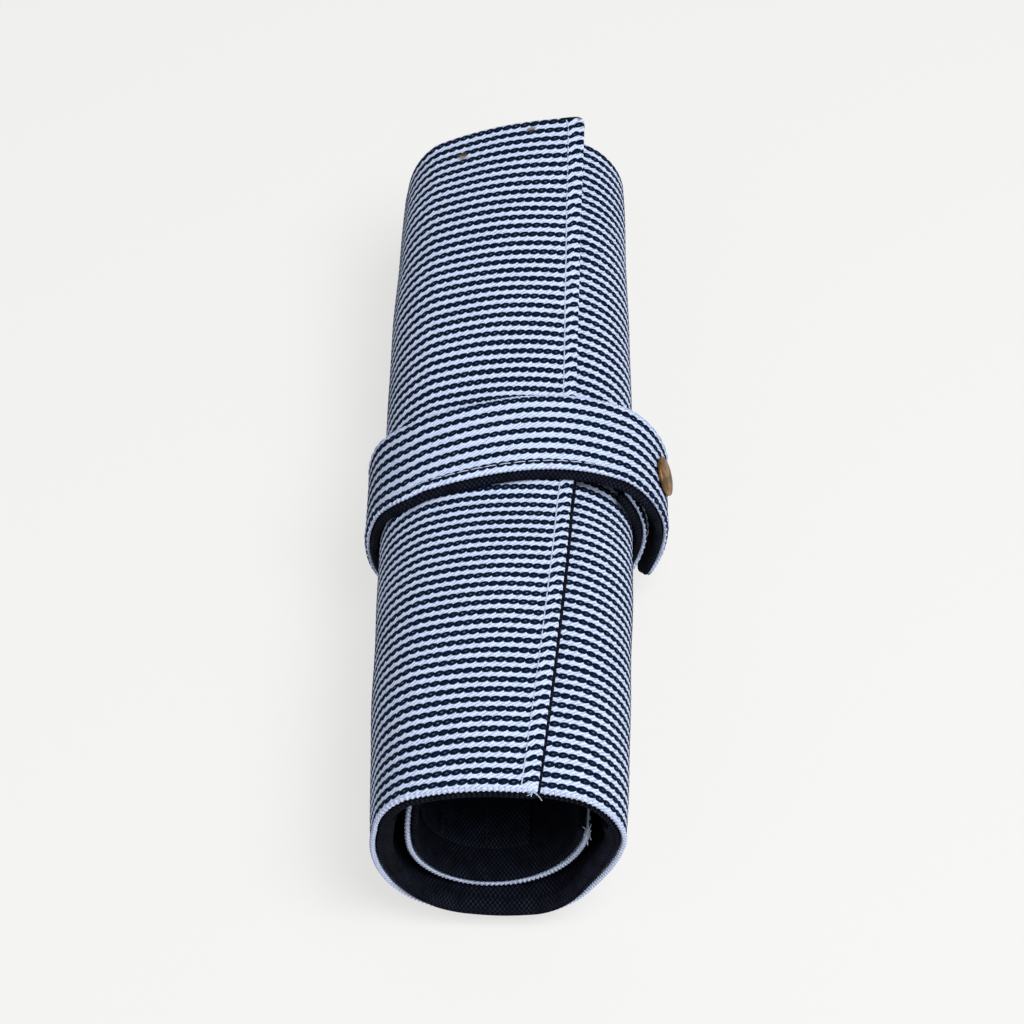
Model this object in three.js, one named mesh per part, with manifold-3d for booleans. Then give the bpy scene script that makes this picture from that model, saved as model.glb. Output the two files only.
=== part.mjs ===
// A roll pencil case, rolled up and held shut by a strap with a magnetic button.
// It is one rectangular mat of striped cloth over a plain lining, with pencil pockets
// sewn on the lining. The mat is rolled slightly askew into about two turns.
//
// Units are millimetres. +Z is up, the roll lies along Y and its near end is at -Y.
// The origin is on the flat underside of the strap, midway along the roll.
//
// Cloth can't bend in a rigid tree, so the mat is a chain of curved sections. Each section
// is a group that stands on the hinge line it shares with the section before it. Turning each
// group back by the mean of its own sweep and the sweep before it lays the mat out flat.
import * as THREE from "three";
import { mergeVertices } from "three/addons/utils/BufferGeometryUtils.js";
import Module from "manifold-3d";

const wasm = await Module();
wasm.setup();

// The mat
const ROLL_LENGTH = 205;
const SHELL_THICKNESS = 1.2;
const LINING_THICKNESS = 1.5;
const LAYER_GAP = 0.3;
const JOINT_GAP = 0.3;
const BASE_HALF_WIDTH = 8.5;
const SKEW_PER_DEGREE = 0.016;

// The outer turn leans towards the near end on its left side, from the strap to the far end
const OUTER_LEAN = 4.5;

// The strap squeezes the roll, so towards its ends the roll is narrower, drawn in at its lower
// right corner, and rises at the top
const END_TAPER = 2.2;
const END_ROUND = 3;
const END_ROUND_SWEEP = 120;
const END_RISE = 5;

// Outer turn, from the base up the left side to the flap: outer-face radius and sweep
const FLAP_RADIUS = 54;
const OUTER_ARCS = [
  { radius: 21.2, sweep: 50, strap: true },
  { radius: 31.2, sweep: 60, strap: true },
  { radius: 17.7, sweep: 50, strap: true },
  { radius: FLAP_RADIUS, sweep: 39.5, strap: true },
];
// Inner turns, from the base up the right side, under the flap and round again. The strap's
// short end lies on the first two, and pencil pockets are sewn on the lining of others.
const UNDER_FLAP_RADIUS = 56.5;
const INNER_ARCS = [
  { radius: 21.2, sweep: 50, strap: true },
  { radius: 27.4, sweep: 45, strap: true },
  { radius: 20.2, sweep: 70, pocket: true },
  { radius: UNDER_FLAP_RADIUS, sweep: 25, pocket: true },
  { radius: 19.2, sweep: 65, pocket: true },
  { radius: 22.5, sweep: 60, pocket: true },
  { radius: 23, sweep: 70, pocket: true },
  { radius: 25, sweep: 62 },
];

// The flap reaches furthest in the middle of its free edge, and its far corner stands off the roll
const FLAP_SWEEP_NEAR = 29.2;
const FLAP_SWEEP_FAR = 37;
const FLAP_LIFT_START = 0.62;
const FLAP_LIFT = 8;

// Pencil pockets
const POCKET_THICKNESS = 0.8;
const POCKET_HEIGHT = 118;
const POCKET_FROM_HEM = 8;

// The strap round the middle of the roll
const STRAP_WIDTH = 23;
const STRAP_FROM_MIDDLE = 0;
const STRAP_SLANT = 3.3;
const STRAP_TWIST = 8;
const STRAP_CLEARANCE = 0.4;
const STRAP_LINING_THICKNESS = 1.8;
const STRAP_FACE_THICKNESS = 1.2;
const STRAP_ON_FLAP_SWEEP = 30;
const SHOULDER_SWEEP = 19;
const TAB_END_RADIUS = 35;
const TAB_ARCS = [
  { radius: 21.8, sweep: 61 },
  { radius: TAB_END_RADIUS, sweep: 28 },
];
const SHORT_END_ARCS = [{ radius: 26.5, sweep: 30 }];
const TAB_CORNER = 3;

// The button through the tab, and its magnet through the strap's short end
const MAGNET_SWEEP = 10.5;
const BUTTON_GAP = 1.3;
const CAP_DIAMETER = 10;
const CAP_THICKNESS = 0.8;
const CAP_DOME = 0.5;
const DISC_DIAMETER = 9;
const DISC_THICKNESS = 0.7;
const POST_DIAMETER = 4;
const POST_CLEARANCE = 0.3;
const MAGNET_DEPTH = 0.6;
const BACK_DIAMETER = 8;
const BACK_THICKNESS = 0.8;

// Facets and fitting
const ARC_STEP_DEGREES = 7.5;
const HEM_STEPS = 14;
const ROUND_SIDES = 32;
const CORNER_STEPS = 4;
const CUT_MARGIN = 1;
const WELD = 1e-4;
const FIT_RANGE = 3;
const FIT_STEPS = 40;

// Room under the strap along the roll, with its slant and the most that its twist adds
const TWIST_REACH = (3 * Math.sqrt(3)) / 16;
const STRAP_ROOM = STRAP_WIDTH + 2 * (STRAP_SLANT + TWIST_REACH * STRAP_TWIST);

// Depths of the layers below and above the mat's outer face, outwards positive
const SHELL = { outer: 0, inner: -SHELL_THICKNESS };
const LINING = layerInside(SHELL, LINING_THICKNESS);
const POCKET = layerInside(LINING, POCKET_THICKNESS);
const STRAP_LINING = { inner: STRAP_CLEARANCE, outer: STRAP_CLEARANCE + STRAP_LINING_THICKNESS };
const STRAP_FACE = {
  inner: STRAP_LINING.outer + LAYER_GAP,
  outer: STRAP_LINING.outer + LAYER_GAP + STRAP_FACE_THICKNESS,
};
const STRAP_HINGE = STRAP_FACE.outer;
const SEAT = STRAP_FACE.outer + LAYER_GAP;
const MAGNET_TOP = SEAT - MAGNET_DEPTH + DISC_THICKNESS;

const CLOTH = {
  stripe: new THREE.MeshStandardMaterial({ color: 0xa9b2cc, roughness: 0.92, metalness: 0 }),
  canvas: new THREE.MeshStandardMaterial({ color: 0x0c0e18, roughness: 0.95, metalness: 0 }),
};
const METAL = {
  brass: new THREE.MeshStandardMaterial({ color: 0x8a6236, roughness: 0.42, metalness: 0.9 }),
  steel: new THREE.MeshStandardMaterial({ color: 0x9a9a98, roughness: 0.4, metalness: 0.9 }),
};

const degrees = THREE.MathUtils.degToRad;
const mix = THREE.MathUtils.lerp;

function layerInside(layer, thickness) {
  const outer = layer.inner - LAYER_GAP;
  return { outer, inner: outer - thickness };
}

// A closed solid between two grids of points. place(u, v, face) gives a point for u and v
// from 0 to 1, on the outer face where face is 0 and on the inner face where it is 1.
function sheet(uSteps, vSteps, place) {
  const positions = [];
  const index = [];
  const row = vSteps + 1;
  const faceSize = (uSteps + 1) * row;
  const at = (i, j, face) => face * faceSize + i * row + j;
  const quad = (a, b, c, d) => index.push(a, b, c, a, c, d);
  for (const face of [0, 1]) {
    for (let i = 0; i <= uSteps; i += 1) {
      for (let j = 0; j <= vSteps; j += 1) {
        positions.push(...place(i / uSteps, j / vSteps, face).toArray());
      }
    }
  }
  for (let i = 0; i < uSteps; i += 1) {
    for (let j = 0; j < vSteps; j += 1) {
      quad(at(i, j, 0), at(i + 1, j, 0), at(i + 1, j + 1, 0), at(i, j + 1, 0));
      quad(at(i, j, 1), at(i, j + 1, 1), at(i + 1, j + 1, 1), at(i + 1, j, 1));
    }
    quad(at(i, 0, 0), at(i, 0, 1), at(i + 1, 0, 1), at(i + 1, 0, 0));
    quad(at(i, vSteps, 0), at(i + 1, vSteps, 0), at(i + 1, vSteps, 1), at(i, vSteps, 1));
  }
  for (let j = 0; j < vSteps; j += 1) {
    quad(at(0, j, 0), at(0, j + 1, 0), at(0, j + 1, 1), at(0, j, 1));
    quad(at(uSteps, j, 0), at(uSteps, j, 1), at(uSteps, j + 1, 1), at(uSteps, j + 1, 0));
  }
  const geometry = new THREE.BufferGeometry();
  geometry.setAttribute("position", new THREE.Float32BufferAttribute(positions, 3));
  geometry.setIndex(index);
  return facingOut(geometry);
}

// Turns every face round if the solid is inside out, as a mirrored section's is.
function facingOut(geometry) {
  const corner = [new THREE.Vector3(), new THREE.Vector3(), new THREE.Vector3()];
  const position = geometry.getAttribute("position");
  const faces = geometry.index.array;
  let volume = 0;
  for (let i = 0; i < faces.length; i += 3) {
    corner.forEach((point, k) => point.fromBufferAttribute(position, faces[i + k]));
    volume += corner[0].dot(corner[1].cross(corner[2]));
  }
  if (volume < 0) {
    for (let i = 0; i < faces.length; i += 3) {
      [faces[i + 1], faces[i + 2]] = [faces[i + 2], faces[i + 1]];
    }
  }
  return geometry;
}

// A geometry as a solid that can be cut.
function solidOf(geometry) {
  const bare = geometry.clone();
  bare.deleteAttribute("normal");
  bare.deleteAttribute("uv");
  const merged = mergeVertices(bare, WELD);
  return new wasm.Manifold(
    new wasm.Mesh({
      numProp: 3,
      vertProperties: new Float32Array(merged.getAttribute("position").array),
      triVerts: new Uint32Array(merged.index.array),
    }),
  );
}

function cut(geometry, ...tools) {
  const left = tools.reduce((solid, tool) => solid.subtract(solidOf(tool)), solidOf(geometry));
  const mesh = left.getMesh();
  const made = new THREE.BufferGeometry();
  made.setAttribute("position", new THREE.Float32BufferAttribute(mesh.vertProperties, 3));
  made.setIndex(Array.from(mesh.triVerts));
  return made;
}

function add(group, name, geometry, material) {
  geometry.computeVertexNormals();
  const mesh = new THREE.Mesh(geometry, material);
  mesh.name = name;
  group.add(mesh);
}

// One curved section, seen in its group's frame: it starts at the hinge line on the group's
// origin, heads along side * X and curls upwards through arcs tangent to each other. hinge is
// how far the hinge line lies outside the mat's outer face, turned is the turn from the base to
// the section's start, skew is how far the cloth moves along Y with each degree of turn, and
// lean is how far it leans along Y at the side of the roll.
class Section {
  constructor({ name, side, arcs, hinge, turned, skew = 0, lean = 0, group = new THREE.Group() }) {
    Object.assign(this, { name, side, arcs, hinge, turned, skew, lean, group });
    this.sweep = arcs.reduce((sum, arc) => sum + arc.sweep, 0);
    group.name ||= name;
  }

  // The arc at `angle` degrees along the section, with the centre that it turns about.
  arcAt(angle) {
    let centre = new THREE.Vector3(0, 0, this.arcs[0].radius + this.hinge);
    let start = 0;
    let arc = this.arcs[0];
    for (const next of this.arcs.slice(1)) {
      if (angle <= start + arc.sweep) break;
      start += arc.sweep;
      centre = centre.addScaledVector(this.outwards(start), arc.radius - next.radius);
      arc = next;
    }
    return { centre, radius: arc.radius };
  }

  outwards(angle) {
    const turn = degrees(angle);
    return new THREE.Vector3(this.side * Math.sin(turn), 0, -Math.cos(turn));
  }

  // The point `angle` degrees along the section and `offset` outside the mat's outer face.
  point(angle, offset, y) {
    const { centre, radius } = this.arcAt(angle);
    return centre.addScaledVector(this.outwards(angle), radius + offset).setY(y);
  }

  // A point of the mat, `along` from the middle of the roll, with the shape the strap gives it.
  matPoint(angle, offset, along) {
    const turn = this.turned + angle;
    const sideways = Math.sin(degrees(turn));
    const drawnIn = END_TAPER * sideways ** 2 + (this.side > 0 ? roundingAt(turn) : 0);
    const narrower = drawnIn * ((2 * along) / ROLL_LENGTH) ** 2;
    const free = Math.max(0, Math.abs(along - STRAP_FROM_MIDDLE) - STRAP_ROOM / 2);
    const share = Math.min(1, free / ((ROLL_LENGTH - STRAP_ROOM) / 2));
    const higher = riseAt(turn) * share * (2 - share);
    const leaning = this.side * this.lean * sideways * Math.min(1, 1 + (2 * along) / ROLL_LENGTH);
    return this.point(angle, offset - narrower + higher, along + this.skew * turn + leaning);
  }

  // A point of the strap, `across` from its middle line. It crosses the roll at a slant, which
  // is steeper over the top than down the sides.
  strapPoint(angle, offset, across) {
    const turn = degrees(this.turned + angle);
    const slant = this.side * Math.sin(turn) * (STRAP_SLANT - STRAP_TWIST * Math.cos(turn) ** 3);
    return this.point(angle, offset, STRAP_FROM_MIDDLE + slant + across);
  }

  // Sets the next section's group on this one at an angle, turned on by that angle.
  carry(next, angle = this.sweep) {
    next.group.position.copy(this.point(angle, next.hinge, 0));
    next.group.rotation.y = -this.side * degrees(angle);
    this.group.add(next.group);
  }

  get steps() {
    return Math.ceil(this.sweep / ARC_STEP_DEGREES);
  }

  // The angle that half a joint gap takes up on the outer face, left free at a hinged end.
  get trim() {
    return THREE.MathUtils.radToDeg(JOINT_GAP / 2 / this.arcs[0].radius);
  }
}

// How far the top of the roll rises at its ends, at a given turn from the base.
function riseAt(turn) {
  return END_RISE * ((1 - Math.cos(degrees(turn))) / 2) ** 4;
}

// How far the lower right corner is drawn in at the roll's ends, at a given turn from the base.
function roundingAt(turn) {
  return turn < END_ROUND_SWEEP ? END_ROUND * Math.sin((Math.PI * turn) / END_ROUND_SWEEP) ** 2 : 0;
}

// A layer of the mat on one section, between two hems.
function matLayer(section, layer, hems, freeEnd = false) {
  const first = section.trim;
  const last = section.sweep - (freeEnd ? 0 : section.trim);
  return sheet(section.steps, HEM_STEPS, (u, v, face) => {
    const offset = face ? layer.inner : layer.outer;
    return section.matPoint(mix(first, last, u), offset, mix(hems[0], hems[1], v));
  });
}

// A layer of the flap: its free edge is bent in the middle, and it rises towards the far corner.
function flapLayer(section, layer, hems) {
  return sheet(section.steps, HEM_STEPS, (u, v, face) => {
    const corner = v < 0.5 ? FLAP_SWEEP_NEAR : FLAP_SWEEP_FAR;
    const last = mix(section.sweep, corner, Math.abs(2 * v - 1));
    const angle = mix(section.trim, last, u);
    const rise = Math.max(0, (v - FLAP_LIFT_START) / (1 - FLAP_LIFT_START));
    const lift = FLAP_LIFT * rise * rise * (angle / section.sweep) ** 2;
    const offset = (face ? layer.inner : layer.outer) + lift;
    return section.matPoint(angle, offset, mix(hems[0], hems[1], v));
  });
}

// A layer of the strap on one section, between two angles.
function strapLayer(section, layer, first, last) {
  const steps = Math.ceil((last - first) / ARC_STEP_DEGREES);
  return sheet(steps, 1, (u, v, face) => {
    const offset = face ? layer.inner : layer.outer;
    return section.strapPoint(mix(first, last, u), offset, (v - 0.5) * STRAP_WIDTH);
  });
}

// A layer of the tab, whose free end has rounded corners.
function tabLayer(section, layer) {
  const cornerSweep = THREE.MathUtils.radToDeg(TAB_CORNER / section.arcs.at(-1).radius);
  const straight = section.sweep - cornerSweep;
  const steps = section.steps + CORNER_STEPS;
  return sheet(steps, 1, (u, v, face) => {
    const step = Math.round(u * steps);
    const bend = (Math.max(0, step - section.steps) / CORNER_STEPS) * (Math.PI / 2);
    const before = mix(section.trim, straight, Math.min(1, step / section.steps));
    const reach = STRAP_WIDTH / 2 - TAB_CORNER * (1 - Math.cos(bend));
    const offset = face ? layer.inner : layer.outer;
    return section.strapPoint(before + cornerSweep * Math.sin(bend), offset, v ? reach : -reach);
  });
}

// A flat layer across the base, between the two hinge lines and two hems.
function baseLayer(layer, hems) {
  const half = BASE_HALF_WIDTH - JOINT_GAP / 2;
  return sheet(1, 1, (u, v, face) => {
    const height = STRAP_HINGE - (face ? layer.inner : layer.outer);
    return new THREE.Vector3(mix(-half, half, u), mix(hems[0], hems[1], v), height);
  });
}

// A round piece on the line square to the strap at `angle`, turned from a profile of
// [radius, offset] points that starts and ends on that line. Offsets are from the mat's face.
function turnedOn(section, angle, profile) {
  const geometry = new THREE.LatheGeometry(
    profile.map(([radius, offset]) => new THREE.Vector2(radius, offset)),
    ROUND_SIDES,
  );
  geometry.deleteAttribute("normal");
  geometry.deleteAttribute("uv");
  geometry.rotateX(-Math.PI / 2);
  geometry.rotateY(-section.side * degrees(angle));
  geometry.translate(...section.strapPoint(angle, 0, 0).toArray());
  return facingOut(mergeVertices(geometry, WELD));
}

// The angle along a section's first arc at which it faces a point of the whole part.
function angleFacing(section, place) {
  const local = section.group.worldToLocal(place.clone()).sub(section.arcAt(0).centre);
  return THREE.MathUtils.radToDeg(Math.atan2(section.side * local.x, -local.z));
}

// The profile of a plain disc between two offsets.
function discProfile(diameter, from, to) {
  const radius = diameter / 2;
  return [
    [0, from],
    [radius, from],
    [radius, to],
    [0, to],
  ];
}

// The sections of one chain, each group standing on the end of the one before. The hinge line
// lies on the strap's outer face where the strap passes, and elsewhere on the furthest that the
// mat's outer face reaches, so that nothing pinches as the mat unrolls.
function chainOf(name, side, arcs, drift) {
  let turned = 0;
  const sections = arcs.map((arc, i) => {
    const strapped = i === 0 || arcs[i - 1].strap;
    const hinge = Math.max(strapped ? STRAP_HINGE : 0, riseAt(turned));
    const section = new Section({ name: `${name}_${i + 1}`, side, arcs: [arc], hinge, turned, ...drift });
    turned += arc.sweep;
    return section;
  });
  sections.slice(1).forEach((section, i) => sections[i].carry(section));
  return sections;
}

const MAT_HEMS = [-ROLL_LENGTH / 2, ROLL_LENGTH / 2];
const STRAP_HEMS = [STRAP_FROM_MIDDLE - STRAP_WIDTH / 2, STRAP_FROM_MIDDLE + STRAP_WIDTH / 2];
const POCKET_HEMS = [MAT_HEMS[0] + POCKET_FROM_HEM, MAT_HEMS[0] + POCKET_FROM_HEM + POCKET_HEIGHT];

const rollPencilCase = new THREE.Group();
const base = new THREE.Group();
base.name = "base";
rollPencilCase.add(base);

const outer = chainOf("outer", -1, OUTER_ARCS, { lean: OUTER_LEAN });
const inner = chainOf("inner", 1, INNER_ARCS, { skew: SKEW_PER_DEGREE });
outer[0].group.position.x = -BASE_HALF_WIDTH;
inner[0].group.position.x = BASE_HALF_WIDTH;
base.add(outer[0].group, inner[0].group);
const flap = outer.at(-1);
// The strap's short end moves with the section of the mat after the last one that it lies on
const lastStrapped = inner.findLastIndex((section) => section.arcs[0].strap);
const stander = inner[lastStrapped + 1];
const shortEnd = new Section({ ...stander, name: "short_end", arcs: SHORT_END_ARCS, skew: 0 });

// The strap's long end goes on past the flap over the roll's shoulder, and ends in the tab. The
// shoulder's radius is the one at which the tab stands BUTTON_GAP off the magnet.
const longEnd = { side: flap.side, hinge: STRAP_HINGE };
const shoulderTurn = flap.turned + STRAP_ON_FLAP_SWEEP;
const magnetTop = shortEnd.point(MAGNET_SWEEP, MAGNET_TOP, 0);
const shoulderArc = { radius: FLAP_RADIUS, sweep: SHOULDER_SWEEP };
const shoulder = new Section({ ...longEnd, name: "shoulder", arcs: [shoulderArc], turned: shoulderTurn });
const tab = new Section({ ...longEnd, name: "tab", arcs: TAB_ARCS, turned: shoulderTurn + SHOULDER_SWEEP });
let tooTight = FLAP_RADIUS / FIT_RANGE;
let tooLoose = FLAP_RADIUS * FIT_RANGE;
for (let step = 0; step < FIT_STEPS; step += 1) {
  shoulderArc.radius = (tooTight + tooLoose) / 2;
  flap.carry(shoulder, STRAP_ON_FLAP_SWEEP);
  shoulder.carry(tab);
  rollPencilCase.updateMatrixWorld(true);
  const { centre, radius } = tab.arcAt(0);
  const place = tab.group.worldToLocal(shortEnd.group.localToWorld(magnetTop.clone()));
  const gap = radius + STRAP_LINING.inner - place.distanceTo(centre);
  if (gap < BUTTON_GAP) tooTight = shoulderArc.radius;
  else tooLoose = shoulderArc.radius;
}
const buttonSweep = angleFacing(tab, shortEnd.group.localToWorld(magnetTop));

// The mat: striped shell outside, plain lining inside
add(base, "shell_base", baseLayer(SHELL, MAT_HEMS), CLOTH.stripe);
add(base, "lining_base", baseLayer(LINING, MAT_HEMS), CLOTH.canvas);
for (const section of [...outer.slice(0, -1), ...inner]) {
  const freeEnd = section === inner.at(-1);
  add(section.group, `shell_${section.name}`, matLayer(section, SHELL, MAT_HEMS, freeEnd), CLOTH.stripe);
  add(section.group, `lining_${section.name}`, matLayer(section, LINING, MAT_HEMS, freeEnd), CLOTH.canvas);
}
add(flap.group, "shell_flap", flapLayer(flap, SHELL, MAT_HEMS), CLOTH.stripe);
add(flap.group, "lining_flap", flapLayer(flap, LINING, MAT_HEMS), CLOTH.canvas);

// The pencil pockets, sewn on the lining
inner.forEach((section, i) => {
  if (section.arcs[0].pocket) {
    add(section.group, `pocket_${i + 1}`, matLayer(section, POCKET, POCKET_HEMS), CLOTH.canvas);
  }
});

// The strap, sewn under the base, with a long end over the flap and a short end on the right
add(base, "strap_face_base", baseLayer(STRAP_FACE, STRAP_HEMS), CLOTH.stripe);
add(base, "strap_lining_base", baseLayer(STRAP_LINING, STRAP_HEMS), CLOTH.canvas);
for (const section of [...outer, shoulder, ...inner.slice(0, lastStrapped + 1)]) {
  const last = (section === flap ? STRAP_ON_FLAP_SWEEP : section.sweep) - section.trim;
  const face = strapLayer(section, STRAP_FACE, section.trim, last);
  const lining = strapLayer(section, STRAP_LINING, section.trim, last);
  add(section.group, `strap_face_${section.name}`, face, CLOTH.stripe);
  add(section.group, `strap_lining_${section.name}`, lining, CLOTH.canvas);
}

// Round pieces are let into the lining of the strap, each on a post through the strap
const HOLE_DIAMETER = POST_DIAMETER + 2 * POST_CLEARANCE;

function postHole(section, angle) {
  return turnedOn(section, angle, discProfile(HOLE_DIAMETER, STRAP_LINING.inner - CUT_MARGIN, SEAT + CUT_MARGIN));
}

function recess(section, angle, diameter, thickness) {
  const bottom = STRAP_LINING.inner + thickness + LAYER_GAP;
  const width = diameter + 2 * POST_CLEARANCE;
  return turnedOn(section, angle, discProfile(width, STRAP_LINING.inner - CUT_MARGIN, bottom));
}

function letIn(section, angle, diameter, thickness) {
  return turnedOn(section, angle, discProfile(diameter, STRAP_LINING.inner, STRAP_LINING.inner + thickness));
}

// The button: a domed cap outside the tab and a steel disc in its lining
const discEnd = STRAP_LINING.inner + DISC_THICKNESS + LAYER_GAP;
const capEdge = SEAT + CAP_THICKNESS;
const cap = turnedOn(tab, buttonSweep, [
  [0, discEnd],
  [POST_DIAMETER / 2, discEnd],
  [POST_DIAMETER / 2, SEAT],
  [CAP_DIAMETER / 2, SEAT],
  [CAP_DIAMETER / 2, capEdge],
  [CAP_DIAMETER / 4, capEdge + CAP_DOME],
  [0, capEdge + CAP_DOME],
]);
const tabHole = postHole(tab, buttonSweep);
const tabRecess = recess(tab, buttonSweep, DISC_DIAMETER, DISC_THICKNESS);
add(tab.group, "strap_face_tab", cut(tabLayer(tab, STRAP_FACE), tabHole), CLOTH.stripe);
add(tab.group, "strap_lining_tab", cut(tabLayer(tab, STRAP_LINING), tabHole, tabRecess), CLOTH.canvas);
add(tab.group, "button_cap", cap, METAL.brass);
add(tab.group, "button_disc", letIn(tab, buttonSweep, DISC_DIAMETER, DISC_THICKNESS), METAL.steel);

// The magnet: a disc on the short end under the button, and a back plate in its lining
const backEnd = STRAP_LINING.inner + BACK_THICKNESS + LAYER_GAP;
const magnetSeat = SEAT - MAGNET_DEPTH;
const magnet = turnedOn(shortEnd, MAGNET_SWEEP, [
  [0, backEnd],
  [POST_DIAMETER / 2, backEnd],
  [POST_DIAMETER / 2, magnetSeat],
  [DISC_DIAMETER / 2, magnetSeat],
  [DISC_DIAMETER / 2, MAGNET_TOP],
  [0, MAGNET_TOP],
]);
const magnetWidth = DISC_DIAMETER + 2 * POST_CLEARANCE;
const magnetRecess = turnedOn(
  shortEnd,
  MAGNET_SWEEP,
  discProfile(magnetWidth, magnetSeat - LAYER_GAP, SEAT + CUT_MARGIN),
);
const shortHole = postHole(shortEnd, MAGNET_SWEEP);
const shortRecess = recess(shortEnd, MAGNET_SWEEP, BACK_DIAMETER, BACK_THICKNESS);
const shortFace = cut(strapLayer(shortEnd, STRAP_FACE, shortEnd.trim, shortEnd.sweep), shortHole, magnetRecess);
const shortLining = cut(strapLayer(shortEnd, STRAP_LINING, shortEnd.trim, shortEnd.sweep), shortHole, shortRecess);
add(shortEnd.group, `strap_face_${shortEnd.name}`, shortFace, CLOTH.stripe);
add(shortEnd.group, `strap_lining_${shortEnd.name}`, shortLining, CLOTH.canvas);
add(shortEnd.group, "magnet_disc", magnet, METAL.steel);
add(shortEnd.group, "magnet_back", letIn(shortEnd, MAGNET_SWEEP, BACK_DIAMETER, BACK_THICKNESS), METAL.steel);

export default rollPencilCase;
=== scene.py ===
import bpy
import numpy as np
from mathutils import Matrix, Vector


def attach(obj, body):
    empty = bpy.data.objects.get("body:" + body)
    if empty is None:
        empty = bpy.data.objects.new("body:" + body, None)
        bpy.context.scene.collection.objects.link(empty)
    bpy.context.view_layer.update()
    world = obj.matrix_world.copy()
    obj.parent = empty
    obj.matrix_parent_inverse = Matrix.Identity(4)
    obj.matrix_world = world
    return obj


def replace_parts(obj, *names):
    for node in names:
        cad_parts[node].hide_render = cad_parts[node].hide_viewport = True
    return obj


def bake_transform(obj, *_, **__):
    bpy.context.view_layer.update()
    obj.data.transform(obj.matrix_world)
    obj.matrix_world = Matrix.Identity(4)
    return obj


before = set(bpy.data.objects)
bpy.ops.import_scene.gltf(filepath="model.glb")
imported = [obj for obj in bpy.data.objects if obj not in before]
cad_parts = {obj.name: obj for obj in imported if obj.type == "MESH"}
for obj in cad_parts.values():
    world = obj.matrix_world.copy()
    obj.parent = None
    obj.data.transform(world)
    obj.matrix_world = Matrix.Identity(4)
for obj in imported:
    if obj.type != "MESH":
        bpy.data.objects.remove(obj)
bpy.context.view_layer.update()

# The striped shell.
# The outside of the mat is striped cotton, cut in one length and rolled into about two turns.
# The strap squeezes the roll in the middle, so its ends are narrower and stand higher.
MM = 0.001
ROLL_LENGTH = 205.0
NEAR_HEM, FAR_HEM = -ROLL_LENGTH / 2, ROLL_LENGTH / 2
BASE_HALF_WIDTH = 8.5
BASE_HEIGHT = 3.7
END_TAPER, END_RISE = 2.2, 5.0
END_ROUND, END_ROUND_DEGREES = 3.0, 120
END_BOW, END_BOW_RUN, END_BOW_FADE = 2.2, 20.0, 45.0
STRAP_WIDTH, STRAP_SLANT, STRAP_TWIST = 23.0, 3.3, 8.0
# The strap's middle line moves either way by its slant and, as sin t cos^3 t is at most 3 sqrt(3) / 16,
# by that much of its twist
STRAP_ROOM = STRAP_WIDTH + 2 * (STRAP_SLANT + STRAP_TWIST * 3 * np.sqrt(3) / 16)
SKEW_PER_DEGREE, OUTER_LEAN = 0.016, 4.5
OUTER_ARCS = [(21.2, 50), (31.2, 60), (17.7, 50), (54, 39.5)]
INNER_ARCS = [(21.2, 50), (27.4, 45), (20.2, 70), (56.5, 25), (19.2, 65), (22.5, 60), (23, 70), (25, 62)]
FLAP_START_DEGREES, FLAP_SWEEP_NEAR, FLAP_SWEEP_MIDDLE, FLAP_SWEEP_FAR = 160, 29.2, 39.5, 37.0
FLAP_LIFT, FLAP_LIFT_START = 8.0, 0.62
FLAP_HEM, FLAP_HEM_RAISE, FLAP_CORNER = 3.5, 0.35, 2.2
SHELL_DEPTHS = (0.0, -0.9)
STRIPE_PERIOD, STRIPE_FROM_HEM, STRIPE_COUNT = 2.8, 2.1, 73
STRIPE_RELIEF = 0.09
INNER_TUCK, TUCK_FROM_DEGREES, TUCK_SPAN_DEGREES = 5.0, 175, 110
# Each ripple's height, its lengths along and round the roll, and its start
RIPPLES = [(0.12, 9.7, 13.0, 0.0), (0.08, 4.9, -8.3, 1.7)]
RIPPLE_FADE_DEGREES = 40
# Beside the strap the cloth is pressed to this share of its ripple and hem, over this share of the way
PRESSED_SHARE, PRESSED_WAY = 0.25, 1 / 6


def hinge_runs(arcs):
    """Runs from the middle of the base to the start and the middle of each arc."""
    lengths = np.array([radius * np.radians(sweep) for radius, sweep in arcs])
    starts = BASE_HALF_WIDTH + np.cumsum(lengths) - lengths
    return starts, starts + lengths / 2, starts[-1] + lengths[-1]


def flap_edge(along):
    """The run of the flap's free edge: straight from each corner to its middle, with the far
    corner rounded by a quarter of a circle.
    """
    corner = np.where(along < 0, FLAP_SWEEP_NEAR, FLAP_SWEEP_FAR)
    share = np.clip(np.abs(2 * along / ROLL_LENGTH), 0, 1)
    sweep = FLAP_SWEEP_MIDDLE + (corner - FLAP_SWEEP_MIDDLE) * share
    beyond = np.clip(along - (FAR_HEM - FLAP_CORNER), 0, FLAP_CORNER)
    rounded = FLAP_CORNER - np.sqrt(FLAP_CORNER**2 - beyond**2)
    return rounded - (OUTER_HINGES[-1] + OUTER_ARCS[-1][0] * np.radians(sweep))


OUTER_HINGES, OUTER_MIDDLES, _ = hinge_runs(OUTER_ARCS)
INNER_HINGES, INNER_MIDDLES, MAT_END = hinge_runs(INNER_ARCS)


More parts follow.
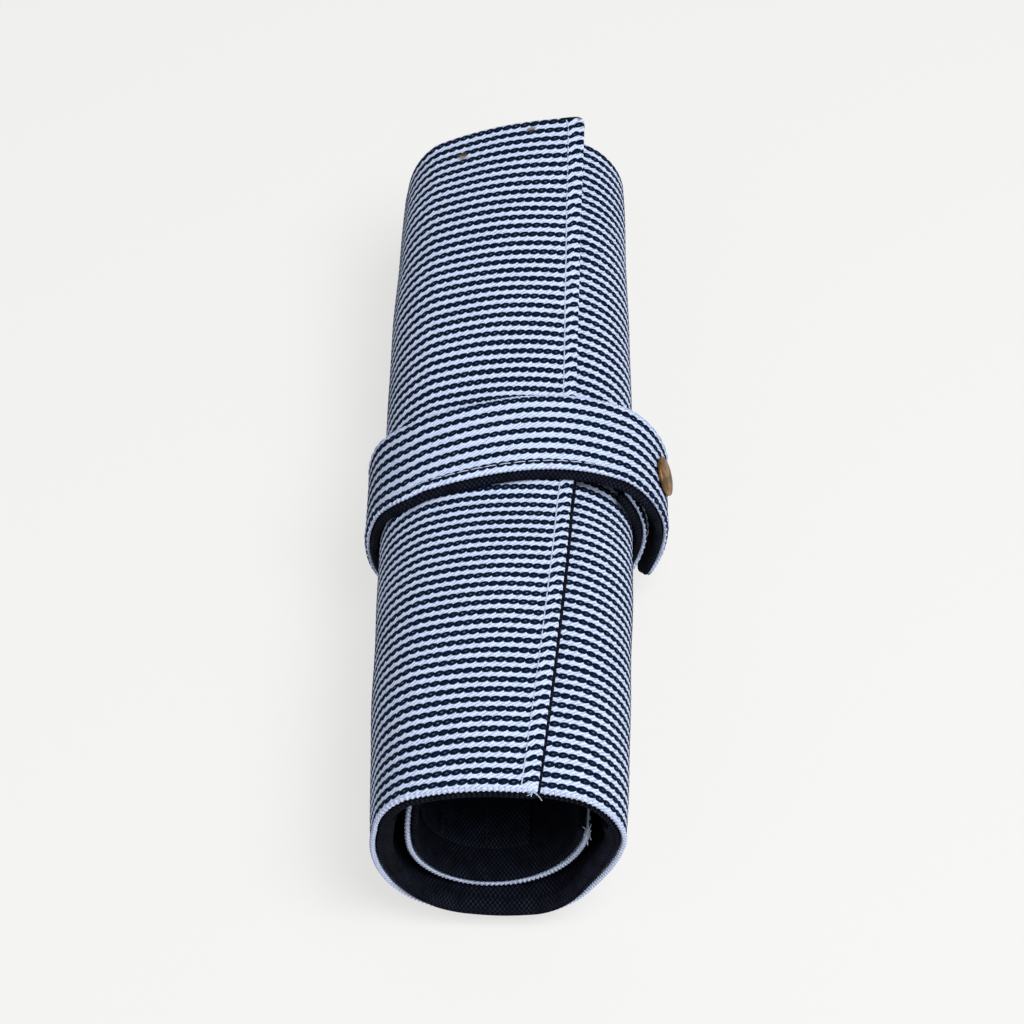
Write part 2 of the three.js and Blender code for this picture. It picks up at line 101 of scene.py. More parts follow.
def curl(arcs, length):
    """How far out and up a line has gone, and its turn, at each length along tangent arcs.

    An arc of radius r that starts at turn a reaches r (sin b - sin a) out and
    r (cos a - cos b) up at turn b.
    """
    radius, sweep = np.array(arcs, float).T
    sweep = np.radians(sweep)
    start = np.cumsum(radius * sweep) - radius * sweep
    turned = np.cumsum(sweep) - sweep
    steps_out = radius * (np.sin(turned + sweep) - np.sin(turned))
    steps_up = radius * (np.cos(turned) - np.cos(turned + sweep))
    arc = np.clip(np.searchsorted(start, length, side="right") - 1, 0, len(arcs) - 1)
    turn = turned[arc] + (length - start[arc]) / radius[arc]
    out = (np.cumsum(steps_out) - steps_out)[arc] + radius[arc] * (np.sin(turn) - np.sin(turned[arc]))
    up = (np.cumsum(steps_up) - steps_up)[arc] + radius[arc] * (np.cos(turned[arc]) - np.cos(turn))
    return out, up, turn


def wound(left_arcs, right_arcs, run):
    """The line of the roll at each run: flat across the base, then curling up on either side.

    Returns the side (-1 left, 1 right), the place in X and Z and the turn.
    """
    side = np.where(run < 0, -1.0, 1.0)
    length = np.maximum(np.abs(run) - BASE_HALF_WIDTH, 0)
    left, right = curl(left_arcs, length), curl(right_arcs, length)
    out, up, turn = (np.where(side < 0, a, b) for a, b in zip(left, right))
    return side, side * (np.minimum(np.abs(run), BASE_HALF_WIDTH) + out), BASE_HEIGHT + up, turn


def mat_place(run, along, depth):
    """A point of the mat: `run` round the roll from the middle of the base, `along` it, and
    `depth` outside its outer face, all in mm.

    The face moves out by a rise, which is greatest at the top of the ends, and in by a taper, a
    squared sine of the turn at the ends' sides and lower right corner. The flap's far corner lifts
    as the square of the way to it, and its folded hem stands up past the stitching as a square
    root. Two slow sine ripples are the same for all layers. The outer turn leans along Y by the
    sine of the turn, and the inner turn is tucked in at the near end by a squared sine. The ends
    of the base bow up by half of one less a cosine on either side of their middle.
    """
    run, along, depth = np.broadcast_arrays(*(np.asarray(a, float) for a in (run, along, depth)))
    side, x, z, turn = wound(OUTER_ARCS, INNER_ARCS, run)
    degrees = np.degrees(turn)
    to_end = 2 * along / ROLL_LENGTH
    share = np.clip((np.abs(along) - STRAP_ROOM / 2) / ((ROLL_LENGTH - STRAP_ROOM) / 2), 0, 1)
    rise = END_RISE * ((1 - np.cos(turn)) / 2) ** 4 * share * (2 - share)
    corner = (side > 0) & (degrees < END_ROUND_DEGREES)
    rounding = END_ROUND * np.sin(np.pi * degrees / END_ROUND_DEGREES) ** 2 * corner
    taper = (END_TAPER * np.sin(turn) ** 2 + rounding) * to_end**2
    on_flap = np.clip((degrees - FLAP_START_DEGREES) / FLAP_SWEEP_MIDDLE, 0, None) * (side < 0)
    way = np.clip(((along - NEAR_HEM) / ROLL_LENGTH - FLAP_LIFT_START) / (1 - FLAP_LIFT_START), 0, None)
    lift = FLAP_LIFT * way**2 * on_flap**2
    clear = np.clip(share / PRESSED_WAY, PRESSED_SHARE, 1)
    past = np.clip(FLAP_HEM + (flap_edge(along) - run), 0, FLAP_HEM) / FLAP_HEM
    lift = lift + FLAP_HEM_RAISE * clear * np.sqrt(past) * (side < 0)
    ripple = sum(high * np.sin(along / length + run / round_length + start)
                 for high, length, round_length, start in RIPPLES)
    ripple = ripple * np.clip(degrees / RIPPLE_FADE_DEGREES, 0, 1)
    out = depth + rise - taper + lift + ripple * clear
    lean = OUTER_LEAN * np.sin(turn) * np.clip(1 + to_end, 0, 1)
    tucked = np.clip((degrees - TUCK_FROM_DEGREES) / TUCK_SPAN_DEGREES, 0, 1)
    tuck = INNER_TUCK * np.sin(np.pi * tucked) ** 2 * np.clip(-to_end, 0, 1) ** 2
    y = along + np.where(side > 0, SKEW_PER_DEGREE * degrees + tuck, -lean)
    bowed = (1 - np.cos(np.pi * np.clip(np.abs(run) / END_BOW_RUN, 0, 1))) / 2
    bowed = bowed * np.clip((END_BOW_RUN + END_BOW_FADE - np.abs(run)) / END_BOW_FADE, 0, 1)
    z = z + END_BOW * bowed * to_end**2
    return np.stack([x + side * np.sin(turn) * out, y, z - np.cos(turn) * out], -1) * MM


HEM_STEPS, BACK_COLUMNS = 9, 31
FREE_END_BEND = np.linspace(0, 0.47 * np.pi, 6)
SHORTEST = 1e-12


def hem_loop(across, depths, columns, relief):
    """The cross-section of a sheet with half-round hems, from the middle of the back round the
    first hem, over the front, round the second hem and back.

    Gives each point's place across, the middle and half of the thickness, the share of that half
    it stands at, the relief there, and the length along the loop, equal to `across` on the front.
    """
    front, back = depths
    middle, reach = (front + back) / 2, (front - back) / 2
    radius = abs(reach)
    first, last = across[0] + radius, across[1] - radius
    face = np.linspace(first, last, columns)
    bend = np.linspace(0, np.pi, HEM_STEPS)[1:-1]
    rear = np.linspace(first, last, BACK_COLUMNS)
    half = len(rear) // 2
    place = np.concatenate([rear[half::-1], first - radius * np.sin(bend), face,
                            last + radius * np.sin(bend), rear[:half:-1]])
    height = np.concatenate([-np.ones(half + 1), -np.cos(bend), np.ones(columns),
                             np.cos(bend), -np.ones(len(rear) - half - 1)])
    raised = np.concatenate([np.zeros(half + 1 + len(bend)), relief(face),
                             np.zeros(len(bend) + len(rear) - half - 1)])
    steps = np.hypot(np.diff(place), reach * np.diff(height))
    unrolled = np.concatenate([[0], np.cumsum(steps)])
    unrolled += first - unrolled[half + 1 + len(bend)]
    return place, middle, reach, height, raised, unrolled


def unit(vectors):
    """Each vector divided by its own length."""
    return vectors / np.maximum(np.linalg.norm(vectors, axis=-1, keepdims=True), SHORTEST)


def new_piece(name, points, faces, corners_uv, normals, material):
    """A mesh object at the origin, from points, faces, a UV for each corner and point normals."""
    mesh = bpy.data.meshes.new(name)
    mesh.from_pydata(points.reshape(-1, 3), [], faces)
    mesh.uv_layers.new(name="cloth").data.foreach_set("uv", corners_uv.astype(np.float32).ravel())
    mesh.polygons.foreach_set("use_smooth", np.ones(len(mesh.polygons), bool))
    if normals is not None:
        mesh.normals_split_custom_set_from_vertices(normals.reshape(-1, 3))
    mesh.materials.append(material)
    mesh.update()
    piece = bpy.data.objects.new(name, mesh)
    bpy.context.scene.collection.objects.link(piece)
    return piece


def sheet_piece(name, place, runs, across, depths, material, columns=70, relief=np.zeros_like,
                free_end=False, run_step=1.6, chevron=None):
    """A length of hemmed cloth between two runs, the second of which may vary across the sheet.

    A free end is rounded like the hems: its last rows shrink as the cosine of an angle while
    they go on by the sine. Normals come from the neighbouring rows, one beyond each end too, so
    that lengths meet without a seam in the shading. The UV is the run and the length along the
    hem loop, in mm, which a chevron shifts.
    """
    loop, middle, reach, height, raised, unrolled = hem_loop(across, depths, columns, relief)
    radius = abs(reach)
    start = runs[0]
    end = runs[1](loop) if callable(runs[1]) else np.full(len(loop), runs[1])
    count = int(np.ceil(np.abs(end - start).max() / run_step))
    share = np.arange(-1, count + 2) / count
    shrink = np.ones(len(share))
    beyond = np.zeros(len(share))
    if free_end:
        bend = FREE_END_BEND
        share = np.concatenate([share[:-2], np.ones(len(bend))])
        shrink = np.concatenate([np.ones(count + 1), np.cos(bend)])
        beyond = np.concatenate([np.zeros(count + 1), radius * (np.sin(bend) - 1)])
    forth = np.sign(end - start)
    run = start + (end - start) * share[:, None] + forth * beyond[:, None]
    if free_end:
        run[:-len(bend)] -= (forth * radius) * share[:-len(bend), None]
    hem = np.where(loop < sum(across) / 2, across[0] + radius, across[1] - radius)
    wide = np.where(np.abs(height) < 1, hem + (loop - hem) * shrink[:, None], loop)
    deep = middle + reach * height * shrink[:, None] + np.sign(reach) * raised * shrink[:, None]
    grid = place(run, wide, deep)
    along_run = np.gradient(grid, axis=0)
    round_loop = np.roll(grid, -1, 1) - np.roll(grid, 1, 1)
    normal = unit(np.cross(along_run, round_loop))
    keep = slice(1, None) if free_end else slice(1, -1)
    grid, normal, run = grid[keep], normal[keep], run[keep]
    rows, around = grid.shape[:2]
    i, j = np.meshgrid(np.arange(rows - 1), np.arange(around), indexing="ij")
    nxt = (j + 1) % around
    here, ahead = i * around, (i + 1) * around
    quads = np.stack([here + j, ahead + j, ahead + nxt, here + nxt], -1).reshape(-1, 4)
    level = np.concatenate([unrolled, [unrolled[-1] + (unrolled[1] - unrolled[0])]])
    shift = np.zeros((rows, around + 1))
    if chevron:
        shift = chevron(run, end)
        shift = np.concatenate([shift, shift[:, :1]], 1)
    column = np.stack([j, j, j + 1, j + 1], -1).reshape(-1, 4)
    row = np.stack([i, i + 1, i + 1, i], -1).reshape(-1, 4)
    quad_uv = np.stack([run[row, column % around], level[column] + shift[row, column]], -1)
    caps = [np.arange(around), np.arange(around)[::-1] + (rows - 1) * around]
    cap_uv = [np.stack([run[0], level[:-1]], -1), np.stack([run[-1], level[:-1]], -1)[::-1]]
    corners = grid.reshape(-1, 3)[quads]
    inside_out = np.sum(corners[:, 0] * np.cross(corners[:, 1], corners[:, 2])) < 0
    if inside_out:
        quads, quad_uv = quads[:, ::-1], quad_uv[:, ::-1]
        caps, cap_uv = [c[::-1] for c in caps], [c[::-1] for c in cap_uv]
        normal = -normal
    faces = quads.tolist() + [c.tolist() for c in caps]
    uv = np.concatenate([quad_uv.reshape(-1, 2), *cap_uv])
    return new_piece(name, grid, faces, uv, normal, material)


def nodes_of(tree):
    """A short way to add nodes: put(type, inputs, settings) returns the node."""
    def put(kind, inputs=(), **settings):
        node = tree.nodes.new(kind)
        for key, value in settings.items():
            setattr(node, key, value)
        for key, value in dict(inputs).items():
            if isinstance(value, bpy.types.NodeSocket):
                tree.links.new(value, node.inputs[key])
            else:
                node.inputs[key].default_value = value
        return node
    return put


def sums(put):
    """Arithmetic on sockets: do("ADD", a, b) returns the result's socket."""
    def do(operation, a, b=0.0, c=0.0):
        return put("ShaderNodeMath", {0: a, 1: b, 2: c}, operation=operation).outputs[0]
    return do


def step_between(put, value, low, high):
    """0 below low, 1 above high and smooth between."""
    return put("ShaderNodeMapRange", {"Value": value, "From Min": low, "From Max": high},
               interpolation_type="SMOOTHSTEP").outputs["Result"]


def mixed(put, share, a, b):
    """The colour `share` of the way from a to b."""
    return put("ShaderNodeMix", {"Factor": share, 6: a, 7: b}, data_type="RGBA").outputs[2]


def noise(put, run, across, scale, detail):
    """Blender's noise, from 0 to 1, with blotches about 1 / scale mm wide."""
    place = put("ShaderNodeCombineXYZ", {"X": run, "Y": across}).outputs[0]
    return put("ShaderNodeTexNoise", {"Vector": place, "Scale": scale, "Detail": detail}).outputs["Fac"]


def node_group(name, inputs, outputs):
    """A new shader node group with float sockets, its put and do, and its input sockets."""
    tree = bpy.data.node_groups.new(name, "ShaderNodeTree")
    for socket in inputs:
        tree.interface.new_socket(socket, in_out="INPUT", socket_type="NodeSocketFloat")
    for socket in outputs:
        tree.interface.new_socket(socket, in_out="OUTPUT", socket_type="NodeSocketFloat")
    put = nodes_of(tree)
    return tree, put, sums(put), put("NodeGroupInput").outputs


LINK_LENGTH, LINK_SWELL, LINK_WAIST, LINK_TILT, LINK_STAGGER = 2.1, 0.35, 0.53, 0.30, 0.37
LINK_EDGE, LINK_TWIST, LINK_HEIGHT, LINK_FOOT = (-0.07, 0.09), 3.4, 0.6, 0.4
SPECK_LENGTH, SPECK_WIDTH, SPECK_EDGE, SPECK_DEPTH = 0.13, 0.17, (1.5, 0.2), 0.3


def rope_stripes():
    """Dark stripes like a chain of plaited links on a pale ground, from a UV in mm.

    The nearest stripe is the rounded share of the way from the first one, kept between the first
    and the last. Its half width swells once in each link as the sine of the way along the link,
    each link is tilted, and a speck of ground, of random strength, shows in its middle: an
    ellipse by the sum of two squares.
    """
    tree, put, do, given = node_group("rope_stripes", ("Run", "Across", "First", "Period", "Count"),
                                      ("Dark", "Speck", "Twist", "Height"))
    count = do("DIVIDE", do("SUBTRACT", given["Across"], given["First"]), given["Period"])
    stripe = do("MAXIMUM", do("MINIMUM", do("ROUND", count), do("SUBTRACT", given["Count"], 1.0)), 0.0)
    off = do("MULTIPLY", do("SUBTRACT", count, stripe), given["Period"])
    link = do("MULTIPLY_ADD", stripe, LINK_STAGGER, do("DIVIDE", given["Run"], LINK_LENGTH))
    from_middle = do("SUBTRACT", do("FRACT", link), 0.5)
    off = do("ADD", off, do("MULTIPLY", from_middle, LINK_TILT))
    away = do("ABSOLUTE", off)
    swell = do("ABSOLUTE", do("SINE", do("MULTIPLY", link, np.pi)))
    margin = do("SUBTRACT", do("MULTIPLY_ADD", swell, LINK_SWELL, LINK_WAIST), away)
    dark = step_between(put, margin, *LINK_EDGE)
    cell = put("ShaderNodeCombineXYZ", {"X": do("FLOOR", link), "Y": stripe}).outputs[0]
    chance = put("ShaderNodeTexWhiteNoise", {"Vector": cell}, noise_dimensions="2D").outputs["Value"]
    spot = do("ADD", do("POWER", do("DIVIDE", do("ABSOLUTE", from_middle), SPECK_LENGTH), 2.0),
              do("POWER", do("DIVIDE", away, SPECK_WIDTH), 2.0))
    speck = do("MULTIPLY", step_between(put, spot, *SPECK_EDGE), chance)
    # Twist: a sine along each link's plies, used for the cords' painted sheen and shade
    twist = do("SINE", do("MULTIPLY_ADD", link, 2 * np.pi, do("MULTIPLY", off, LINK_TWIST)))
    height = do("SUBTRACT", do("MULTIPLY", dark, do("MULTIPLY_ADD", swell, LINK_HEIGHT, LINK_FOOT)),
                do("MULTIPLY", speck, SPECK_DEPTH))
    put("NodeGroupOutput", {"Dark": dark, "Speck": speck, "Twist": twist, "Height": height})
    return tree


TWILL_PITCH, TWILL_BREAK, TWILL_LEVEL, TWILL_EDGE = (1.35, 1.0), 0.4, 0.1, (-0.7, 0.9)
SLUB_SCALE = 0.7


def twill():
    """Diagonal threads from a UV in mm: a sine across them, broken by one along them, and slubs."""
    tree, put, do, given = node_group("twill", ("Run", "Across"), ("Thread", "Slub"))
    run = do("MULTIPLY", given["Run"], 2 * np.pi / TWILL_PITCH[0])
    across = do("MULTIPLY", given["Across"], 2 * np.pi / TWILL_PITCH[1])
    broken = do("MULTIPLY_ADD", do("SINE", do("SUBTRACT", across, run)), TWILL_BREAK, TWILL_LEVEL)
    thread = step_between(put, do("ADD", do("SINE", do("ADD", run, across)), broken), *TWILL_EDGE)
    slub = noise(put, given["Run"], given["Across"], SLUB_SCALE, 4.0)
    put("NodeGroupOutput", {"Thread": thread, "Slub": slub})
    return tree


STAIN_SCALE, STAIN_BREAK, STAIN_LEVEL, STAIN_EDGE = 0.55, 1.6, -0.1, (0.0, 0.5)


def stain():
    """A blotch round a point of the UV: it fades as the distance in spreads, broken up by noise."""
    tree, put, do, given = node_group("stain", ("Run", "Across", "At Run", "At Across", "Spread"),
                                      ("Mask",))
    run = do("SUBTRACT", given["Run"], given["At Run"])
    across = do("SUBTRACT", given["Across"], given["At Across"])
    broken = noise(put, given["Run"], given["Across"], STAIN_SCALE, 4.0)
    far = do("DIVIDE", do("SQRT", do("ADD", do("MULTIPLY", run, run), do("MULTIPLY", across, across))),
             given["Spread"])
    level = do("MULTIPLY_ADD", broken, STAIN_BREAK, do("SUBTRACT", STAIN_LEVEL, far))
    put("NodeGroupOutput", {"Mask": step_between(put, level, *STAIN_EDGE)})
    return tree


ROPE_STRIPES, TWILL, STAIN = rope_stripes(), twill(), stain()
PALE = (0.64, 0.735, 0.965, 1)
PALE_SHADE = (0.33, 0.40, 0.61, 1)
NAVY = (0.0006, 0.0042, 0.0165, 1)
# The cords' lit colour in their painted sheen
NAVY_SHEEN_LIT = (0.0030, 0.0120, 0.0330, 1)
STAIN_BROWN = (0.115, 0.075, 0.035, 1)
# Where the shell is stained, as run, along and spread: two marks by the far hem and one at the
# flap's far corner
SHELL_STAINS = [(-82.0, 94.5, 2.4), (-98.5, 99.5, 1.7), (-109.0, 101.0, 1.8)]
WANDER_SCALE, WANDER = 0.05, 0.8
SLUB_WEAR, SLUB_LEVEL = 2.2, -0.40
NAVY_SHEEN, NAVY_LEVEL = 0.5, 0.35
SPECK_SHOWS, STAIN_SHOWS, TWILL_HEIGHT = 0.40, 0.75, 0.25
STRIPE_BUMP, STRIPE_BUMP_DEPTH = 0.8, 0.3
STRIPED_ROUGHNESS, STRIPED_SPECULAR = 0.95, 0.06


def new_material(name, roughness, specular):
    """A material on the cloth UV: itself, put and do for its nodes, its shader, run and across."""
    material = bpy.data.materials.new(name)
    material.use_nodes = True
    put = nodes_of(material.node_tree)
    shader = material.node_tree.nodes["Principled BSDF"]
    shader.inputs["Roughness"].default_value = roughness
    shader.inputs["Specular IOR Level"].default_value = specular
    uv = put("ShaderNodeUVMap", uv_map="cloth").outputs[0]
    split = put("ShaderNodeSeparateXYZ", {0: uv}).outputs
    return material, put, sums(put), shader, split["X"], split["Y"]


def dress(put, shader, colour, height, strength, depth):
    """Give a shader its colour, and a bump as deep as `depth` mm where the height is 1."""
    bump = put("ShaderNodeBump", {"Height": height, "Strength": strength, "Distance": depth * MM})
    links = shader.id_data.links
    links.new(colour, shader.inputs["Base Color"])
    links.new(bump.outputs[0], shader.inputs["Normal"])


def striped_cloth(name, first, period, count, stains=()):
    """Cotton in pale twill and dark plaited stripes, with painted shade on the threads and specks, painted
    sheen on the cords, a matt surface and a few stains.
    """
    material, put, do, shader, run, across = new_material(name, STRIPED_ROUGHNESS, STRIPED_SPECULAR)
    wander = noise(put, run, across, WANDER_SCALE, 3.0)
    wandering = do("ADD", across, do("MULTIPLY_ADD", wander, WANDER, -WANDER / 2))
    rope = put("ShaderNodeGroup", {"Run": run, "Across": wandering, "First": first, "Period": period,
                                   "Count": count}, node_tree=ROPE_STRIPES)
    weave = put("ShaderNodeGroup", {"Run": run, "Across": wandering}, node_tree=TWILL)
    worn = do("MULTIPLY_ADD", weave.outputs["Slub"], SLUB_WEAR, SLUB_LEVEL)
    # Painted shade on the twill's threads, stronger where the slub noise is high
    ground = mixed(put, do("MULTIPLY", weave.outputs["Thread"], worn), PALE, PALE_SHADE)
    # Painted sheen and shade along the twist of the cords' plies, from the navy towards its lit colour
    sheen = do("MULTIPLY_ADD", rope.outputs["Twist"], NAVY_SHEEN, NAVY_LEVEL)
    cord = mixed(put, sheen, NAVY, NAVY_SHEEN_LIT)
    # The specks of ground between the links take the ground's painted shade
    cord = mixed(put, do("MULTIPLY", rope.outputs["Speck"], SPECK_SHOWS), cord, PALE_SHADE)
    cloth = mixed(put, rope.outputs["Dark"], ground, cord)
    for at_run, at_across, spread in stains:
        blotch = put("ShaderNodeGroup", {"Run": run, "Across": across, "At Run": at_run,
                                         "At Across": at_across, "Spread": spread}, node_tree=STAIN)
        cloth = mixed(put, do("MULTIPLY", blotch.outputs["Mask"], STAIN_SHOWS), cloth, STAIN_BROWN)
    height = do("ADD", rope.outputs["Height"], do("MULTIPLY", weave.outputs["Thread"], TWILL_HEIGHT))
    dress(put, shader, cloth, height, STRIPE_BUMP, STRIPE_BUMP_DEPTH)
    return material


FIRST_STRIPE = NEAR_HEM + STRIPE_FROM_HEM
SHELL_CLOTH = striped_cloth("shell_cloth", FIRST_STRIPE, STRIPE_PERIOD, STRIPE_COUNT, SHELL_STAINS)
SHELL_COLUMNS = 510
BEND_MARGIN = 0.2
FLAT_STEPS, FLAP_EDGE_STEPS = 60, 41


def stripe_relief(first, period):
    """The plaited stripes stand a little proud: the cosine of the way to the nearest one."""
    return lambda across: STRIPE_RELIEF * np.cos(2 * np.pi * (across - first) / period)


def lengths_of_mat(edge):
    """Each length of the mat runs from the middle of one section to the middle of the next.

    Gives the two bodies, the runs it starts and ends at, and the run by which it has bent.
    """
    for side, middles, end in (("outer", -OUTER_MIDDLES, edge), ("inner", INNER_MIDDLES, MAT_END)):
        bodies = ["base"] + [f"{side}_{k + 1}" for k in range(len(middles))]
        cuts = [0.0, *middles]
        for k in range(len(middles)):
            last = end if k == len(middles) - 1 else cuts[k + 1]
            yield bodies[k], bodies[k + 1], cuts[k], last, cuts[k + 1]


def bend_between(piece, place, carrier, moved, first, last):
    """The piece's place is baked into its mesh; it does not follow the carrier or the moved body, which
    are not used, nor bend between the first and last runs.
    """
    ends = np.array([first, last]) + (last - first) * np.array([BEND_MARGIN, -BEND_MARGIN])
    start, end = place(ends, 0.0, 0.0) * (1, 0, 1)
    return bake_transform(piece, carrier, moved, start=tuple(start), end=tuple(end))


def node_name(layer, body):
    """The CAD node of a layer of the mat on one body."""
    return f"{layer}_flap" if body == "outer_4" else f"{layer}_{body}"


CHEVRON_PULL, CHEVRON_PEAK = 1.25, 0.68


def flap_chevron(run, end):
    """Past its stitches the flap's hem pulls the stripes askew, in a parabola of the way past."""
    past = np.clip(1 - np.abs(end - run) / FLAP_HEM, 0, 1)
    return -CHEVRON_PULL * (1 - (past / CHEVRON_PEAK - 1) ** 2)


def flat_length(place, first, last, depths):
    """How long a sheet is when laid flat, in metres: the sum of the steps along its middle."""
    line = place(np.linspace(first, last, FLAT_STEPS), 0.0, sum(depths) / 2)
    return float(np.linalg.norm(np.diff(line, axis=0), axis=1).sum())


def mat_layer(layer, depths, material, slot, place=mat_place, edge=flap_edge, **looks):
    """One cloth of the mat in lengths."""
    for carrier, moved, first, last, bent in lengths_of_mat(edge):
        on_flap, at_end = moved == "outer_4", moved == "inner_8"
        chevron = flap_chevron if on_flap else None
        piece = sheet_piece(f"{layer}_cloth_{moved}", place, (first, last), (NEAR_HEM, FAR_HEM),
                            depths, material, free_end=on_flap or at_end, chevron=chevron, **looks)
        bend_between(piece, mat_place, carrier, moved, first, bent)
        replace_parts(piece, node_name(layer, moved), *([f"{layer}_base"] if moved == "inner_1" else []))
        reach = edge(np.linspace(NEAR_HEM, FAR_HEM, FLAP_EDGE_STEPS)).mean() if on_flap else last
        under = "strap_face_base" if carrier == "base" else node_name(layer, moved)
        flat_length(place, first, reach, depths)
        yield carrier, moved, first, last, bent


shell_lengths = list(mat_layer("shell", SHELL_DEPTHS, SHELL_CLOTH, "striped_cloth",
                               columns=SHELL_COLUMNS, relief=stripe_relief(FIRST_STRIPE, STRIPE_PERIOD)))

# The lining.
# The inside of the mat is a heavy dark blue canvas with a plain rib weave, sewn to the shell
# along its edges. Its thick edge shows as a dark band inside the near hem.
LINING_DEPTHS = (-3.0, -1.5)
RIB_PITCH, RIB_EDGE = (1.15, 1.5), (-0.5, 1.0)
RIB_WEAR_SCALE, RIB_WEAR, RIB_LEVEL = 0.25, 2.4, -0.5
LINT_SCALE, LINT_EDGE, LINT_SHOWS = 0.9, (0.62, 0.80), 0.35
CANVAS_BUMP, CANVAS_BUMP_DEPTH = 0.8, 0.2
CANVAS_ROUGHNESS, CANVAS_SPECULAR = 0.95, 0.08


def rib_weave():
    """Over and under threads from a UV in mm: the peaks of a product of two sines, worn
    unevenly by a wide noise, and lint from a fine one.
    """
    tree, put, do, given = node_group("rib_weave", ("Run", "Across"), ("Rib", "Lint"))
    warp = do("SINE", do("MULTIPLY", given["Run"], 2 * np.pi / RIB_PITCH[0]))
    weft = do("SINE", do("MULTIPLY", given["Across"], 2 * np.pi / RIB_PITCH[1]))
    wear = noise(put, given["Run"], given["Across"], RIB_WEAR_SCALE, 5.0)
    peak = step_between(put, do("MULTIPLY", warp, weft), *RIB_EDGE)
    rib = do("MULTIPLY", peak, do("MULTIPLY_ADD", wear, RIB_WEAR, RIB_LEVEL))
    lint = noise(put, given["Run"], given["Across"], LINT_SCALE, 5.0)
    put("NodeGroupOutput", {"Rib": rib, "Lint": step_between(put, lint, *LINT_EDGE)})
    return tree


RIB_WEAVE = rib_weave()
# The canvas in the painted shade between its ribs, and lit on them
CANVAS_RIB_SHADE = (0.0006, 0.0008, 0.0022, 1)
CANVAS_LIT = (0.0150, 0.0195, 0.0390, 1)
CANVAS_LINT = (0.045, 0.052, 0.075, 1)


def canvas_cloth(name, lit=CANVAS_LIT):
    """Dark canvas with its ribs, painted shade between them, a little lint and almost no shine."""
    material, put, do, shader, run, across = new_material(name, CANVAS_ROUGHNESS, CANVAS_SPECULAR)
    weave = put("ShaderNodeGroup", {"Run": run, "Across": across}, node_tree=RIB_WEAVE).outputs
    # Painted shade: the hollows between the ribs take the shaded colour, their peaks the lit one
    cloth = mixed(put, weave["Rib"], CANVAS_RIB_SHADE, lit)
    cloth = mixed(put, do("MULTIPLY", weave["Lint"], LINT_SHOWS), cloth, CANVAS_LINT)
    dress(put, shader, cloth, weave["Rib"], CANVAS_BUMP, CANVAS_BUMP_DEPTH)
    return material


CANVAS = canvas_cloth("lining_canvas")
# The lining's near edge is rolled under: the roll's width and its depths, less on the flap
ROLLED_HEM, FLAP_ROLLED_HEM, ROLLED_HEM_IN = (3.7, (-5.3, -1.9)), (2.5, (-4.3, -1.9)), 0.1
ROLLED_HEM_BODIES = ["outer_1", "outer_2", "outer_3", "outer_4", "inner_1", "inner_2", "inner_3"]
ROLLED_HEM_COLUMNS = 4
# How far the lining shows past the flap: at the near end, beside the strap on either side, at the far end
LINING_PEEKS = (0.75, 1.45, 0.60, 0.25)
LINING_OUT, LINING_OUT_RUN, LINING_OUT_FADE = 1.3, 36.0, 20.0


def lining_edge(along):
    """The lining shows past the flap's edge, by amounts that go straight from place to place."""
    places = NEAR_HEM, -STRAP_WIDTH / 2, STRAP_WIDTH / 2, FAR_HEM
    return flap_edge(along) - np.interp(along, places, LINING_PEEKS)


def lining_place(run, along, depth):
    """The mat's place, with the lining standing out past the shell at the near end of the base.

    It fades straight with the way along the roll and with the way round it.
    """
    near = np.clip(1 - (along - NEAR_HEM) / LINING_OUT_FADE, 0, 1)
    low = np.clip((LINING_OUT_RUN - np.abs(run)) / LINING_OUT_FADE, 0, 1)
    return mat_place(run, along - LINING_OUT * near * low, depth)


for carrier, moved, first, last, bent in mat_layer("lining", LINING_DEPTHS, CANVAS, "canvas",
                                                  place=lining_place, edge=lining_edge):
    if moved in ROLLED_HEM_BODIES:
        width, depths = FLAP_ROLLED_HEM if moved == "outer_4" else ROLLED_HEM
        edges = NEAR_HEM + ROLLED_HEM_IN, NEAR_HEM + ROLLED_HEM_IN + width
        roll = sheet_piece(f"lining_roll_{moved}", lining_place, (first, last), edges, depths, CANVAS,
                           columns=ROLLED_HEM_COLUMNS, free_end=moved == "outer_4")
        bend_between(roll, mat_place, carrier, moved, first, bent)

# The pencil pockets.
# A second piece of the canvas lies on the lining and is sewn down along its foot and between the
# slots, which are open towards the far end. The pockets are empty and lie flat in the roll.
POCKET_DEPTHS = (-4.1, -3.3)
POCKET_FROM_HEM, POCKET_HEIGHT, POCKET_COLUMNS = 8.0, 118.0, 40
POCKET_NEAR, POCKET_FAR = NEAR_HEM + POCKET_FROM_HEM, NEAR_HEM + POCKET_FROM_HEM + POCKET_HEIGHT
POCKET_LIT = (0.0260, 0.0340, 0.0640, 1)
POCKET_CANVAS = canvas_cloth("pocket_canvas", lit=POCKET_LIT)
POCKET_CUTS = [INNER_HINGES[2], *INNER_MIDDLES[3:6], INNER_HINGES[7]]


def lengths_of_pockets():
    """Each length of the pockets spans one hinge: two bodies, two runs and the run of the bend."""
    for k in range(4):
        first, last = POCKET_CUTS[k], POCKET_CUTS[k + 1]
        bend = (INNER_MIDDLES[2] if k == 0 else first, INNER_MIDDLES[6] if k == 3 else last)
        yield f"inner_{k + 3}", f"inner_{k + 4}", first, last, bend


for carrier, moved, first, last, bend in lengths_of_pockets():
    pocket = sheet_piece(f"pocket_cloth_{moved}", mat_place, (first, last), (POCKET_NEAR, POCKET_FAR),
                         POCKET_DEPTHS, POCKET_CANVAS, columns=POCKET_COLUMNS)
    bend_between(pocket, mat_place, carrier, moved, *bend)
    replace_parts(pocket, f"pocket_{moved[-1]}", *(["pocket_3"] if moved == "inner_4" else []))
    flat_length(mat_place, first, last, POCKET_DEPTHS)

